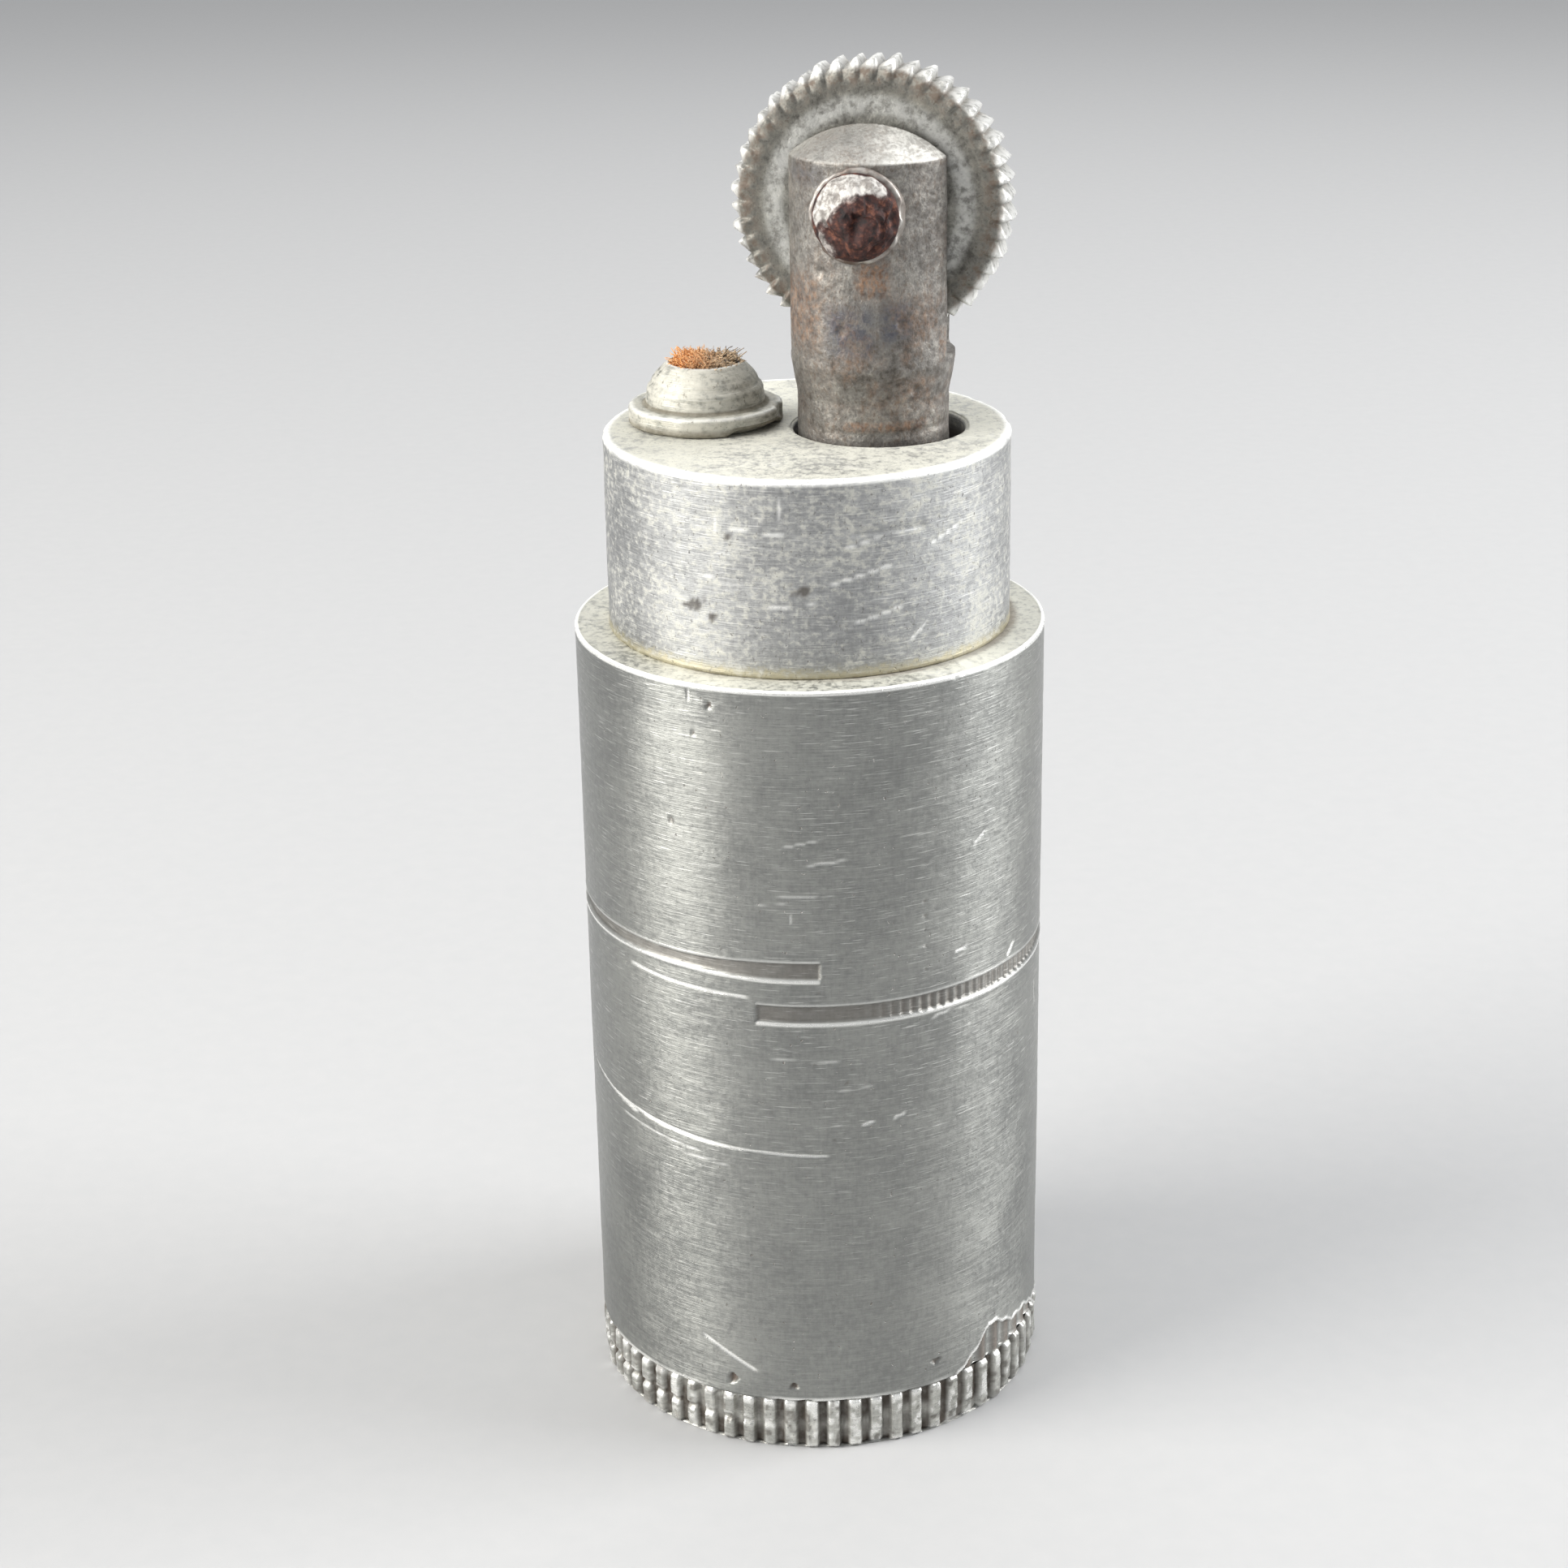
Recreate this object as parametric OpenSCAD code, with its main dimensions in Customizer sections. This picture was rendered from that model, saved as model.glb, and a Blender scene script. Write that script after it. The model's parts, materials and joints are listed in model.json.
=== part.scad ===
// Wick-type petrol pocket lighter: a turned tank, a flint post and a bare spark wheel. Millimetres.
// The origin is the centre of the resting face under the filler cap, +Z is up and the front is -Y.
// Threads are drawn at their pitch radius, so a screwed joint is a plain running fit here.

/* [Sleeve] */
// Outer radius of the sleeve
sleeve_r = 9.5; // [9.4:0.05:9.6]
// Bore radius of the sleeve, whose inside is the fuel tank
tank_r = 7.9; // [7.88:0.01:7.91]
// Height of the sleeve's lower end
sleeve_foot = 2.3; // [2.2:0.05:2.4]
// Height of the sleeve's upper end, where a lid would stop
sleeve_top = 33.4; // [33:0.1:34]
// Pitch radius of the female thread at the sleeve's lower end
tank_thread_r = 8.35; // [8.33:0.01:8.4]
// Height at which that thread ends
tank_thread_top = 7.0; // [6.8:0.1:7.2]

/* [Head block] */
// Radius of the upper barrel, over which a lid slides
head_r = 8.1; // [8.06:0.01:8.12]
// Height of the flat top of the head block
head_top = 41.2; // [41:0.1:41.5]
// Height of the underside of the head block
head_foot = 29.6; // [29:0.1:30]
// Chamfer round the top of the head block
head_chamfer = 0.15; // [0.1:0.05:0.2]
// Distance right of centre of the hole that the flint post stands in
well_x = 2.9; // [2.85:0.05:2.95]
// Radius of that hole
well_r = 3.4; // [3.3:0.05:3.45]

/* [Filler cap] */
// Radius over the ribs of the knurled rim
knurl_r = 9.58; // [9.55:0.01:9.65]
// Depth of the grooves between the ribs
knurl_depth = 0.22; // [0.15:0.01:0.25]
// Number of ribs round the rim
knurl_count = 66; // [60:2:72]
// Pitch radius of the cap's male thread
cap_thread_r = 8.3; // [8.27:0.01:8.31]
// Height of the top of the threaded spigot
cap_top = 6.5; // [6.3:0.1:6.6]
// Radius of the hollow inside the cap
cap_hollow_r = 6.6; // [6.4:0.1:6.8]
// Thickness of the cap's floor
cap_floor = 1.2; // [1:0.05:1.25]

/* [Wick] */
// Place of the wick ferrule, left of centre
wick_x = -4.0; // [-4.1:0.05:-3.9]
// Place of the wick ferrule, behind centre
wick_y = 1.3; // [1.2:0.05:1.4]
// Radius of the ferrule's flange
flange_r = 3.1; // [3:0.05:3.15]
// Thickness of the flange
flange_t = 0.78; // [0.7:0.02:0.85]
// Radius of the ferrule's dome at the flange
dome_r = 2.42; // [2.36:0.02:2.5]
// Height of the dome above the flange
dome_h = 1.62; // [1.5:0.02:1.7]
// Radius of the wick
wick_r = 1.3; // [1.2:0.05:1.35]
// Length of wick that stands out of the ferrule
wick_out = 0.8; // [0.6:0.1:1]

/* [Flint post] */
// Place of the flint post, right of centre
post_x = 2.65; // [2.6:0.05:2.7]
// Place of the flint post, behind centre
post_y = 0.1; // [0:0.05:0.15]
// Angle that the fork and its wheel are turned towards the left
post_turn = 12; // [10:1:14]
// Radius of the post where it leaves the head block
post_neck_r = 3.0; // [2.95:0.01:3.02]
// Radius of the fork
post_r = 3.25; // [3.2:0.01:3.3]
// Height at which the fork reaches its full radius
post_flare_z = 44; // [43.5:0.1:44.1]
// Height of the top of the domed fork
post_top = 53.35; // [53.2:0.05:53.5]
// Rise of the dome above the edge of the fork
post_dome = 1.3; // [1.1:0.05:1.4]
// Height of the floor of the wheel slot
slot_floor = 44.2; // [44.1:0.05:44.3]
// Front wall of the wheel slot, measured forwards from the post's axis
slot_front = 1.0; // [0.95:0.05:1.1]
// Rear wall of the wheel slot, measured backwards from the post's axis
slot_rear = 1.7; // [1.7:0.05:1.8]

/* [Spark wheel] */
// Height of the axle
axle_z = 50.05; // [50:0.01:50.1]
// Radius of the axle rivet
axle_r = 0.9; // [0.85:0.01:0.92]
// Radius of the wheel over its teeth
wheel_r = 5.57; // [5.5:0.01:5.58]
// Thickness of the wheel
wheel_t = 2.4; // [2.3:0.05:2.4]
// Number of saw teeth on the wheel
tooth_count = 46; // [44:1:50]
// Depth of a tooth
tooth_depth = 0.42; // [0.35:0.01:0.45]
// Bevel on each edge of the rim
wheel_bevel = 0.5; // [0.4:0.05:0.6]

/* [Flint feed] */
// Radius of the flint
flint_r = 1.2; // [1.18:0.01:1.21]
// Length of a new flint
flint_len = 5; // [4:0.5:6]
// Bore radius of the post and of the flint tube
bore_r = 1.25; // [1.24:0.01:1.26]
// Outer radius of the flint tube
feed_tube_r = 1.9; // [1.85:0.05:1.95]
// Height of the lower end of the flint tube
feed_tube_foot = 6.2; // [6.1:0.1:6.3]
// Radius of the flint screw's head
screw_head_r = 1.9; // [1.8:0.05:1.95]
// Turns of the flint spring
spring_turns = 24; // [18:1:26]
// Radius of the spring's wire
wire_r = 0.17; // [0.15:0.01:0.18]

/* [Hidden] */
$fn = 96;
cut = 1;                                // how far a cutting shape runs past a face
gap = 0.05;                             // working clearance between neighbours

// Post, its shank and its nut
shank_r = 2.45;
seal_t = 0.4;
seat_z = 35.6;                          // floor of the well in the head block
shoulder_z = seat_z + seal_t;
nut_t = 2.2;
nut_r = 4.3;                            // across the corners
shank_foot = head_foot - nut_t - 0.4;
tube_top = shank_foot + 2.5;            // how far the flint tube is pressed into the shank
post_flare_foot = post_flare_z - 1.4;

// Wick and its hole
stem_r = 1.98;
stem_foot = 34;
ferrule_bore_r = 1.38;
dome_peak = 2.05;                       // height at which the dome's ellipse would close
dome_steps = 12;
wick_top = head_top + flange_t + dome_h + wick_out;
wick_foot = 11;

// Fuel packing
pad_foot = cap_top + 0.3;
pad_t = 1.5;
wadding_foot = pad_foot + pad_t + gap;
wadding_top = shank_foot - gap;
packing_r = tank_r - 0.07;

// Wheel and axle, along the axle from the post's axis, front positive
wheel_mid = (slot_front - slot_rear) / 2;
spacer_t = (slot_front + slot_rear - wheel_t) / 2 - 0.03;
washer_r = 1.85;
washer_face = post_r + 0.3;
front_head_r = 1.7;
front_head_t = 1.3;
rear_head_r = 1.6;
rear_head_t = 0.7;

// Flint feed, from the wheel down
flint_top = axle_z - wheel_r - gap;
drill_past = 0.2;                       // the bore nicks the front cheek just above the slot's floor
plunger_top = flint_top - flint_len;
plunger_t = 2.5;
plunger_foot = plunger_top - plunger_t;
plunger_r = bore_r - 0.08;
pin_r = 0.5;
pin_len = 2;
screw_washer_t = 0.4;
screw_seat = feed_tube_foot - screw_washer_t;
screw_head_t = 1.2;
screw_thread_r = bore_r - gap;
screw_tip = feed_tube_foot + 3;
coil_r = 0.95;                          // mean radius of the spring
ring_steps = 12;                        // rings in one turn of the spring
wire_sides = 6;

// Gasket under the sleeve's lower end
gasket_in = tank_thread_r;
gasket_out = 8.95;
gasket_t = 0.5;

// A tube or washer of outer radius r and bore radius hole, from height z0 to z1
module ring(r, hole, z0, z1) {
    difference() {
        translate([0, 0, z0]) cylinder(r = r, h = z1 - z0);
        translate([0, 0, z0 - cut]) cylinder(r = hole, h = z1 - z0 + 2 * cut);
    }
}

// A rod of radius r from height z0 to z1
module rod(r, z0, z1) {
    translate([0, 0, z0]) cylinder(r = r, h = z1 - z0);
}

module at_post() {
    translate([post_x, post_y, 0]) children();
}

module at_wick() {
    translate([wick_x, wick_y, 0]) children();
}

// Along the axle: local Z points out of the fork's front, local Y is up, and zero is the post's axis
module on_axle() {
    translate([post_x, post_y, axle_z]) rotate([90, 0, -post_turn]) children();
}

// The part of a ball that stands less than rise above a flat of radius r, resting on z = 0
module button(r, rise) {
    ball_r = (r * r + rise * rise) / (2 * rise);
    intersection() {
        translate([0, 0, rise - ball_r]) sphere(r = ball_r);
        cylinder(r = r + cut, h = rise + cut);
    }
}

module outer_sleeve() {
    edge = 0.13;
    color([0.78, 0.79, 0.78])
    difference() {
        rotate_extrude() polygon([[0, sleeve_foot], [sleeve_r, sleeve_foot], [sleeve_r, sleeve_top - edge],
                                  [sleeve_r - edge, sleeve_top], [0, sleeve_top]]);
        rod(tank_r, sleeve_foot, sleeve_top + cut);
        rod(tank_thread_r, sleeve_foot - cut, tank_thread_top);
    }
}

module head_block() {
    plug_r = tank_r - 0.02;
    color([0.80, 0.81, 0.80])
    difference() {
        rotate_extrude() polygon([[0, head_foot], [plug_r, head_foot], [plug_r, sleeve_top],
                                  [head_r, sleeve_top], [head_r, head_top - head_chamfer],
                                  [head_r - head_chamfer, head_top], [0, head_top]]);
        translate([well_x, post_y, 0]) rod(well_r, seat_z, head_top + cut);
        at_post() rod(shank_r + gap, head_foot - cut, head_top);
        at_wick() rod(stem_r + 0.02, stem_foot, head_top + cut);
        at_wick() rod(wick_r + gap, head_foot - cut, head_top);
    }
}

// Outline of the knurled rim: flat-topped ribs with a narrow groove before each
module knurl_outline() {
    step = 360 / knurl_count;
    root_r = knurl_r - knurl_depth;
    polygon([for (i = [0 : knurl_count - 1])
             for (p = [[root_r, 0.06], [root_r, 0.24], [knurl_r, 0.36], [knurl_r, 0.94]])
                 [p[0] * cos((i + p[1]) * step), p[0] * sin((i + p[1]) * step)]]);
}

module filler_cap() {
    edge = 0.2;
    color([0.76, 0.77, 0.75])
    difference() {
        union() {
            intersection() {
                linear_extrude(sleeve_foot) knurl_outline();
                rotate_extrude() polygon([[0, 0], [knurl_r - edge, 0], [knurl_r, edge],
                                          [knurl_r, sleeve_foot], [0, sleeve_foot]]);
            }
            rod(cap_thread_r, sleeve_foot - gasket_t, cap_top);
        }
        ring(gasket_out + gap, cap_thread_r, sleeve_foot - gasket_t, sleeve_foot + cut);
        rod(cap_hollow_r, cap_floor, cap_top + cut);
    }
}

module cap_gasket() {
    color([0.22, 0.17, 0.12]) ring(gasket_out, gasket_in, sleeve_foot - gasket_t, sleeve_foot);
}

module wick_ferrule() {
    dome_points = [for (i = [0 : dome_steps])
                   let (z = dome_h * i / dome_steps) [dome_r * sqrt(1 - pow(z / dome_peak, 2)), z]];
    color([0.74, 0.74, 0.70])
    at_wick() difference() {
        union() {
            rod(stem_r, stem_foot, head_top + gap);
            rod(flange_r, head_top, head_top + flange_t);
            translate([0, 0, head_top + flange_t]) rotate_extrude()
                polygon(concat([[0, 0]], dome_points, [[0, dome_h]]));
        }
        rod(ferrule_bore_r, stem_foot - cut, wick_top);
    }
}

module wick() {
    color([0.62, 0.44, 0.27]) at_wick() rod(wick_r, wick_foot, wick_top);
}

module fuel_wadding() {
    color([0.90, 0.87, 0.80])
    difference() {
        rod(packing_r, wadding_foot, wadding_top);
        at_post() rod(feed_tube_r + gap, wadding_foot - cut, wadding_top + cut);
        at_wick() rod(wick_r + gap, wick_foot - gap, wadding_top + cut);
    }
}

module felt_pad() {
    color([0.55, 0.52, 0.48])
    difference() {
        rod(packing_r, pad_foot, pad_foot + pad_t);
        at_post() rod(feed_tube_r + gap, pad_foot - cut, pad_foot + pad_t + cut);
    }
}

module flint_post() {
    slot_w = slot_front + slot_rear;
    color([0.66, 0.64, 0.62])
    difference() {
        at_post() union() {
            rod(shank_r, shank_foot, shoulder_z);
            rod(post_neck_r, shoulder_z, post_flare_foot);
            translate([0, 0, post_flare_foot])
                cylinder(r1 = post_neck_r, r2 = post_r, h = post_flare_z - post_flare_foot);
            rod(post_r, post_flare_z, post_top - post_dome);
            translate([0, 0, post_top - post_dome]) button(post_r, post_dome);
        }
        at_post() rod(bore_r, shank_foot - cut, flint_top + drill_past);
        at_post() rod(feed_tube_r, shank_foot - cut, tube_top);
        on_axle() translate([-post_r - cut, slot_floor - axle_z, -slot_rear])
            cube([2 * (post_r + cut), post_top - slot_floor + cut, slot_w]);
        on_axle() translate([0, 0, -post_r - cut]) cylinder(r = axle_r, h = 2 * (post_r + cut));
    }
}

module post_seal() {
    color([0.35, 0.20, 0.14]) at_post() ring(post_neck_r, shank_r + gap, seat_z, shoulder_z);
}

module post_nut() {
    color([0.72, 0.60, 0.34])
    at_post() difference() {
        translate([0, 0, head_foot - nut_t]) cylinder(r = nut_r, h = nut_t, $fn = 6);
        rod(shank_r, head_foot - nut_t - cut, head_foot + cut);
    }
}

// Saw teeth whose steep side faces clockwise as seen from the front
module tooth_outline() {
    step = 360 / tooth_count;
    polygon([for (i = [0 : tooth_count - 1])
             for (p = [[wheel_r - tooth_depth, 0], [wheel_r, 0.2]])
                 [p[0] * cos((i + p[1]) * step), p[0] * sin((i + p[1]) * step)]]);
}

module spark_wheel() {
    half = wheel_t / 2;
    past = 0.3;                         // the bevels' cones meet a cylinder just outside the teeth
    color([0.72, 0.72, 0.70])
    on_axle() translate([0, 0, wheel_mid]) difference() {
        intersection() {
            translate([0, 0, -half]) linear_extrude(wheel_t) tooth_outline();
            rotate_extrude() polygon([[0, -half], [wheel_r - wheel_bevel, -half],
                                      [wheel_r + past, wheel_bevel + past - half],
                                      [wheel_r + past, half - wheel_bevel - past],
                                      [wheel_r - wheel_bevel, half], [0, half]]);
        }
        translate([0, 0, -half - cut]) cylinder(r = axle_r + gap, h = wheel_t + 2 * cut);
    }
}

module axle_rivet() {
    color([0.36, 0.22, 0.17])
    on_axle() union() {
        rod(axle_r, -washer_face - gap, washer_face + gap);
        translate([0, 0, washer_face]) cylinder(r = front_head_r, h = 0.3);
        translate([0, 0, washer_face + 0.3]) button(front_head_r, front_head_t - 0.3);
        mirror([0, 0, 1]) translate([0, 0, washer_face]) button(rear_head_r, rear_head_t);
    }
}

// Washer hammered down onto the round side of the fork, front side
module saddle_washer() {
    difference() {
        on_axle() rod(washer_r, 2, washer_face);
        at_post() rod(post_r, axle_z - 3, axle_z + 3);
        on_axle() rod(axle_r, 1, washer_face + cut);
    }
}

module front_washer() {
    color([0.58, 0.57, 0.56]) saddle_washer();
}

// The same washer on the far side of the fork
module rear_washer() {
    color([0.58, 0.57, 0.56])
    at_post() rotate([0, 0, 180]) translate([-post_x, -post_y, 0]) saddle_washer();
}

module front_spacer() {
    color([0.70, 0.62, 0.45]) on_axle() ring(2, axle_r, slot_front - spacer_t, slot_front);
}

module rear_spacer() {
    color([0.70, 0.62, 0.45]) on_axle() ring(2, axle_r, -slot_rear, spacer_t - slot_rear);
}

module flint_tube() {
    color([0.76, 0.63, 0.35]) at_post() ring(feed_tube_r, bore_r, feed_tube_foot, tube_top);
}

module flint() {
    color([0.32, 0.31, 0.31]) at_post() rod(flint_r, plunger_top, flint_top);
}

module flint_plunger() {
    color([0.78, 0.66, 0.38])
    at_post() union() {
        rod(plunger_r, plunger_foot, plunger_top);
        rod(pin_r, plunger_foot - pin_len, plunger_foot + gap);
    }
}

// Corner k of ring i of the spring's wire, which climbs as it turns
function spring_point(i, k, z0, rise) =
    let (turn = i * 360 / ring_steps, side = k * 360 / wire_sides, r = coil_r + wire_r * cos(side))
    [r * cos(turn), r * sin(turn), z0 + rise * i + wire_r * sin(side)];

module flint_spring() {
    rings = spring_turns * ring_steps;
    z0 = screw_tip + wire_r;
    rise = (plunger_foot - screw_tip - 2 * wire_r) / rings;
    points = [for (i = [0 : rings]) for (k = [0 : wire_sides - 1]) spring_point(i, k, z0, rise)];
    skin = [for (i = [0 : rings - 1]) for (k = [0 : wire_sides - 1])
            let (a = i * wire_sides + k, b = i * wire_sides + (k + 1) % wire_sides)
            [a, a + wire_sides, b + wire_sides, b]];
    ends = [[for (k = [0 : wire_sides - 1]) k],
            [for (k = [wire_sides - 1 : -1 : 0]) rings * wire_sides + k]];
    color([0.60, 0.62, 0.66]) at_post() polyhedron(points, concat(skin, ends));
}

module flint_screw() {
    slot_w = 0.5;
    slot_d = 0.6;
    head_foot_z = screw_seat - screw_head_t;
    color([0.74, 0.61, 0.33])
    at_post() difference() {
        union() {
            rod(screw_head_r, head_foot_z, screw_seat);
            rod(screw_thread_r, screw_seat - gap, screw_tip);
        }
        translate([-screw_head_r - cut, -slot_w / 2, head_foot_z - cut])
            cube([2 * (screw_head_r + cut), slot_w, slot_d + cut]);
    }
}

module screw_washer() {
    color([0.40, 0.24, 0.16]) at_post() ring(feed_tube_r, bore_r, screw_seat, feed_tube_foot);
}

outer_sleeve();
head_block();
filler_cap();
cap_gasket();
wick_ferrule();
wick();
fuel_wadding();
felt_pad();
flint_post();
post_seal();
post_nut();
spark_wheel();
axle_rivet();
front_washer();
rear_washer();
front_spacer();
rear_spacer();
flint_tube();
flint();
flint_plunger();
flint_spring();
flint_screw();
screw_washer();
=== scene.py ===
# Looks of a small wick-type petrol lighter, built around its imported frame.
# Shapes are worked out in millimetres and become metres when a mesh is made.
# "Around" angles start at the front (-Y) and grow towards the right (+X).
import json
import math

import bpy
import numpy as np
from mathutils import Matrix, Vector


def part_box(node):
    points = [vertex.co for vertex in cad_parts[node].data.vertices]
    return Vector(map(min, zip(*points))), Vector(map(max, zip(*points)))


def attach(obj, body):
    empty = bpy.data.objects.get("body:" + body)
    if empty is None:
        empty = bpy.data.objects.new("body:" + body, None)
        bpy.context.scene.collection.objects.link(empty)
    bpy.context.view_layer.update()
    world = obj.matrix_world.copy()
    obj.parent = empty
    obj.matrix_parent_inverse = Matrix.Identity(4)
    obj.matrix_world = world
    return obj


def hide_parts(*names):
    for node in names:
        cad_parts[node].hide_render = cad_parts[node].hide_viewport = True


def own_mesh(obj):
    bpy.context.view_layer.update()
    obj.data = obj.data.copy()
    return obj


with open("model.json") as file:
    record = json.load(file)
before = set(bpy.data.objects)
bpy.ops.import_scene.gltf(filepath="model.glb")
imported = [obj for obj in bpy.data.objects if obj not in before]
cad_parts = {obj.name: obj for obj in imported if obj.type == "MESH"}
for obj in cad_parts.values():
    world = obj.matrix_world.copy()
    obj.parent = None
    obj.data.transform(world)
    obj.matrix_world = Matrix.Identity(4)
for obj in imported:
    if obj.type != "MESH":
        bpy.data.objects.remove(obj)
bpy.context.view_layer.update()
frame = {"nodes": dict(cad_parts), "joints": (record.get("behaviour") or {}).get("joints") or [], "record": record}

MM = 0.001
TILE = 32                     # lattice cells after which the lumps repeat
CAP_PITCH = 0.75
SCREW_PITCH = 0.4
THREAD_DEPTH = 0.14           # half the height of the cap thread's profile
KNURL_COUNT = 66
TOOTH_COUNT = 46
SLOTS = {part["node"]: part["material_slot"] for part in frame["record"]["subparts"]}
BODIES = {node: body for body, nodes in frame["record"]["behaviour"]["bodies"].items() for node in nodes}
JOINTS = {joint["name"]: joint for joint in frame["joints"]}


# ---------------------------------------------------------------- measures from the frame

def corners(node):
    low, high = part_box(node)
    return np.array(low) / MM, np.array(high) / MM


def middle(node):
    low, high = corners(node)
    return (low + high) / 2


sleeve_low, sleeve_high = corners("outer_sleeve")
head_low, head_high = corners("head_block")
_, cap_high = corners("filler_cap")
ferrule_low, ferrule_high = corners("wick_ferrule")
post_low, post_high = corners("flint_post")
wick_low, wick_high = corners("wick")
gasket_low, _ = corners("cap_gasket")
_, tube_high = corners("flint_tube")
screw_low, screw_high = corners("flint_screw")
spring_low, spring_high = corners("flint_spring")
seal_low, seal_high = corners("post_seal")
SLEEVE_R, SLEEVE_FOOT, SLEEVE_TOP = sleeve_high[0], sleeve_low[2], sleeve_high[2]
HEAD_R, HEAD_FOOT, HEAD_TOP = head_high[0], head_low[2], head_high[2]
RIM_R, CAP_TOP = cap_high[0], cap_high[2]
FERRULE_AT, POST_AT = middle("wick_ferrule"), middle("flint_post")
FLANGE_R, FERRULE_TOP = ferrule_high[0] - FERRULE_AT[0], ferrule_high[2]
POST_R, POST_TOP = post_high[0] - POST_AT[0], post_high[2]
AXLE_AT = np.array(JOINTS["wheel_spin"]["pos_m"]) / MM
AXLE_WAY = np.array(JOINTS["wheel_spin"]["axis"])


# ---------------------------------------------------------------- mesh tools

def lumps(seed, points, size, octaves=1):
    """Smooth noise from about -1 to 1 at points in mm; size is a lump's width, a number or one per axis."""
    table = np.random.default_rng(seed).uniform(-1, 1, (TILE, TILE, TILE))
    total = np.zeros(points.shape[:-1])
    for octave in range(octaves):
        spot = points * (2 ** octave) / np.array(size) + 0.37 * octave
        cell = np.floor(spot).astype(int)
        part = spot - cell
        part = part * part * (3 - 2 * part)
        for corner in np.ndindex(2, 2, 2):
            at = (cell + corner) % TILE
            weight = np.prod(np.where(np.array(corner) == 1, part, 1 - part), axis=-1)
            total += 0.5 ** octave * weight * table[at[..., 0], at[..., 1], at[..., 2]]
    return total


def step_up(value, low, high):
    """0 below low, 1 above high and smooth between them."""
    t = np.clip((value - low) / (high - low), 0, 1)
    return t * t * (3 - 2 * t)


def ridge(value, centre, half, soft):
    """1 within half of centre, falling to 0 over the width soft."""
    return 1 - step_up(np.abs(value - centre), half, half + soft)


def arc(centre_r, centre_z, radius, start, end, count):
    """Points of an arc in the (r, z) half plane, in degrees from the +r direction."""
    turn = np.radians(np.linspace(start, end, count))
    return [(centre_r + radius * math.cos(t), centre_z + radius * math.sin(t)) for t in turn]


def path(points, step):
    """The outline with extra points, so that none are further apart than step."""
    made = [points[0]]
    for a, b in zip(points[:-1], points[1:]):
        count = max(1, math.ceil(math.dist(a, b) / step))
        made += [(a[0] + (b[0] - a[0]) * k / count, a[1] + (b[1] - a[1]) * k / count)
                 for k in range(1, count + 1)]
    return made


def turned(outline, columns):
    """Radius, height and angle around in degrees, one row for each outline point."""
    r, z = np.array(outline, float).T
    around = np.arange(columns) * 360 / columns - 180
    shape = (len(r), columns)
    return (np.broadcast_to(r[:, None], shape).copy(), np.broadcast_to(z[:, None], shape).copy(),
            np.broadcast_to(around, shape).copy())


def rows_of(*parts):
    """The rows that each part of an outline takes up, when the parts follow one another."""
    stops = np.cumsum([len(part) for part in parts]).tolist()
    return [slice(stop - len(part), stop) for part, stop in zip(parts, stops)]


def spots(r, z, around, centre=(0, 0)):
    """Points in space of the rows that turned() gives."""
    turn = np.radians(around)
    return np.stack([centre[0] + r * np.sin(turn), centre[1] - r * np.cos(turn), z], axis=-1)


def turn_from(around, angle):
    """Degrees from angle to each place, between -180 and 180."""
    return (around - angle + 180) % 360 - 180


def away_from(around, z, angle, height, radius):
    """Distance in mm along the skin of a cylinder from one place on it."""
    return np.hypot(turn_from(around, angle) * math.radians(radius), z - height)


def make_piece(name, points, faces):
    mesh = bpy.data.meshes.new(name)
    mesh.from_pydata((np.asarray(points).reshape(-1, 3) * MM).tolist(), [], faces)
    mesh.polygons.foreach_set("use_smooth", [True] * len(mesh.polygons))
    mesh.update()
    piece = bpy.data.objects.new(name, mesh)
    bpy.context.scene.collection.objects.link(piece)
    return piece


def skin(name, points, loop):
    """A closed piece from rows of points that run up the outside. Rows join end to end if loop is true;
    otherwise the first and last rows shrink to one point each."""
    rows, columns = points.shape[:2]
    index = np.arange(rows * columns).reshape(rows, columns)
    body = np.vstack([index, index[:1]]) if loop else index
    after = np.roll(body, -1, axis=1)
    faces = np.stack([body[:-1], after[:-1], after[1:], body[1:]], axis=-1).reshape(-1, 4).tolist()
    flat = points.reshape(-1, 3)
    if not loop:
        foot, top = rows * columns, rows * columns + 1
        flat = np.vstack([flat, points[0].mean(0), points[-1].mean(0)])
        faces += [[foot, b, a] for a, b in zip(index[0], np.roll(index[0], -1))]
        faces += [[top, a, b] for a, b in zip(index[-1], np.roll(index[-1], -1))]
    return make_piece(name, flat, faces)


def tube(route, radius, sides):
    """Points and faces of a closed tube along a route; radius is one number for each point of it."""
    route = np.asarray(route, float)
    way = np.gradient(route, axis=0)
    way /= np.linalg.norm(way, axis=1)[:, None]
    aside = np.cross(way, [0.31, 0.17, 0.93])
    aside /= np.linalg.norm(aside, axis=1)[:, None]
    over = np.cross(way, aside)
    turn = np.arange(sides) * 2 * math.pi / sides
    ring = aside[:, None] * np.cos(turn)[:, None] + over[:, None] * np.sin(turn)[:, None]
    points = (route[:, None] + ring * np.asarray(radius)[:, None, None]).reshape(-1, 3)
    faces = []
    for i in range(len(route) - 1):
        for k in range(sides):
            a, b = i * sides + k, i * sides + (k + 1) % sides
            faces.append([a, b, b + sides, a + sides])
    faces.append(list(range(sides))[::-1])
    faces.append([(len(route) - 1) * sides + k for k in range(sides)])
    return points, faces


def bundle(name, tubes):
    """One piece from several tubes."""
    points, faces, count = [], [], 0
    for p, f in tubes:
        points.append(p)
        faces += [[k + count for k in face] for face in f]
        count += len(p)
    return make_piece(name, np.vstack(points), faces)


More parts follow.
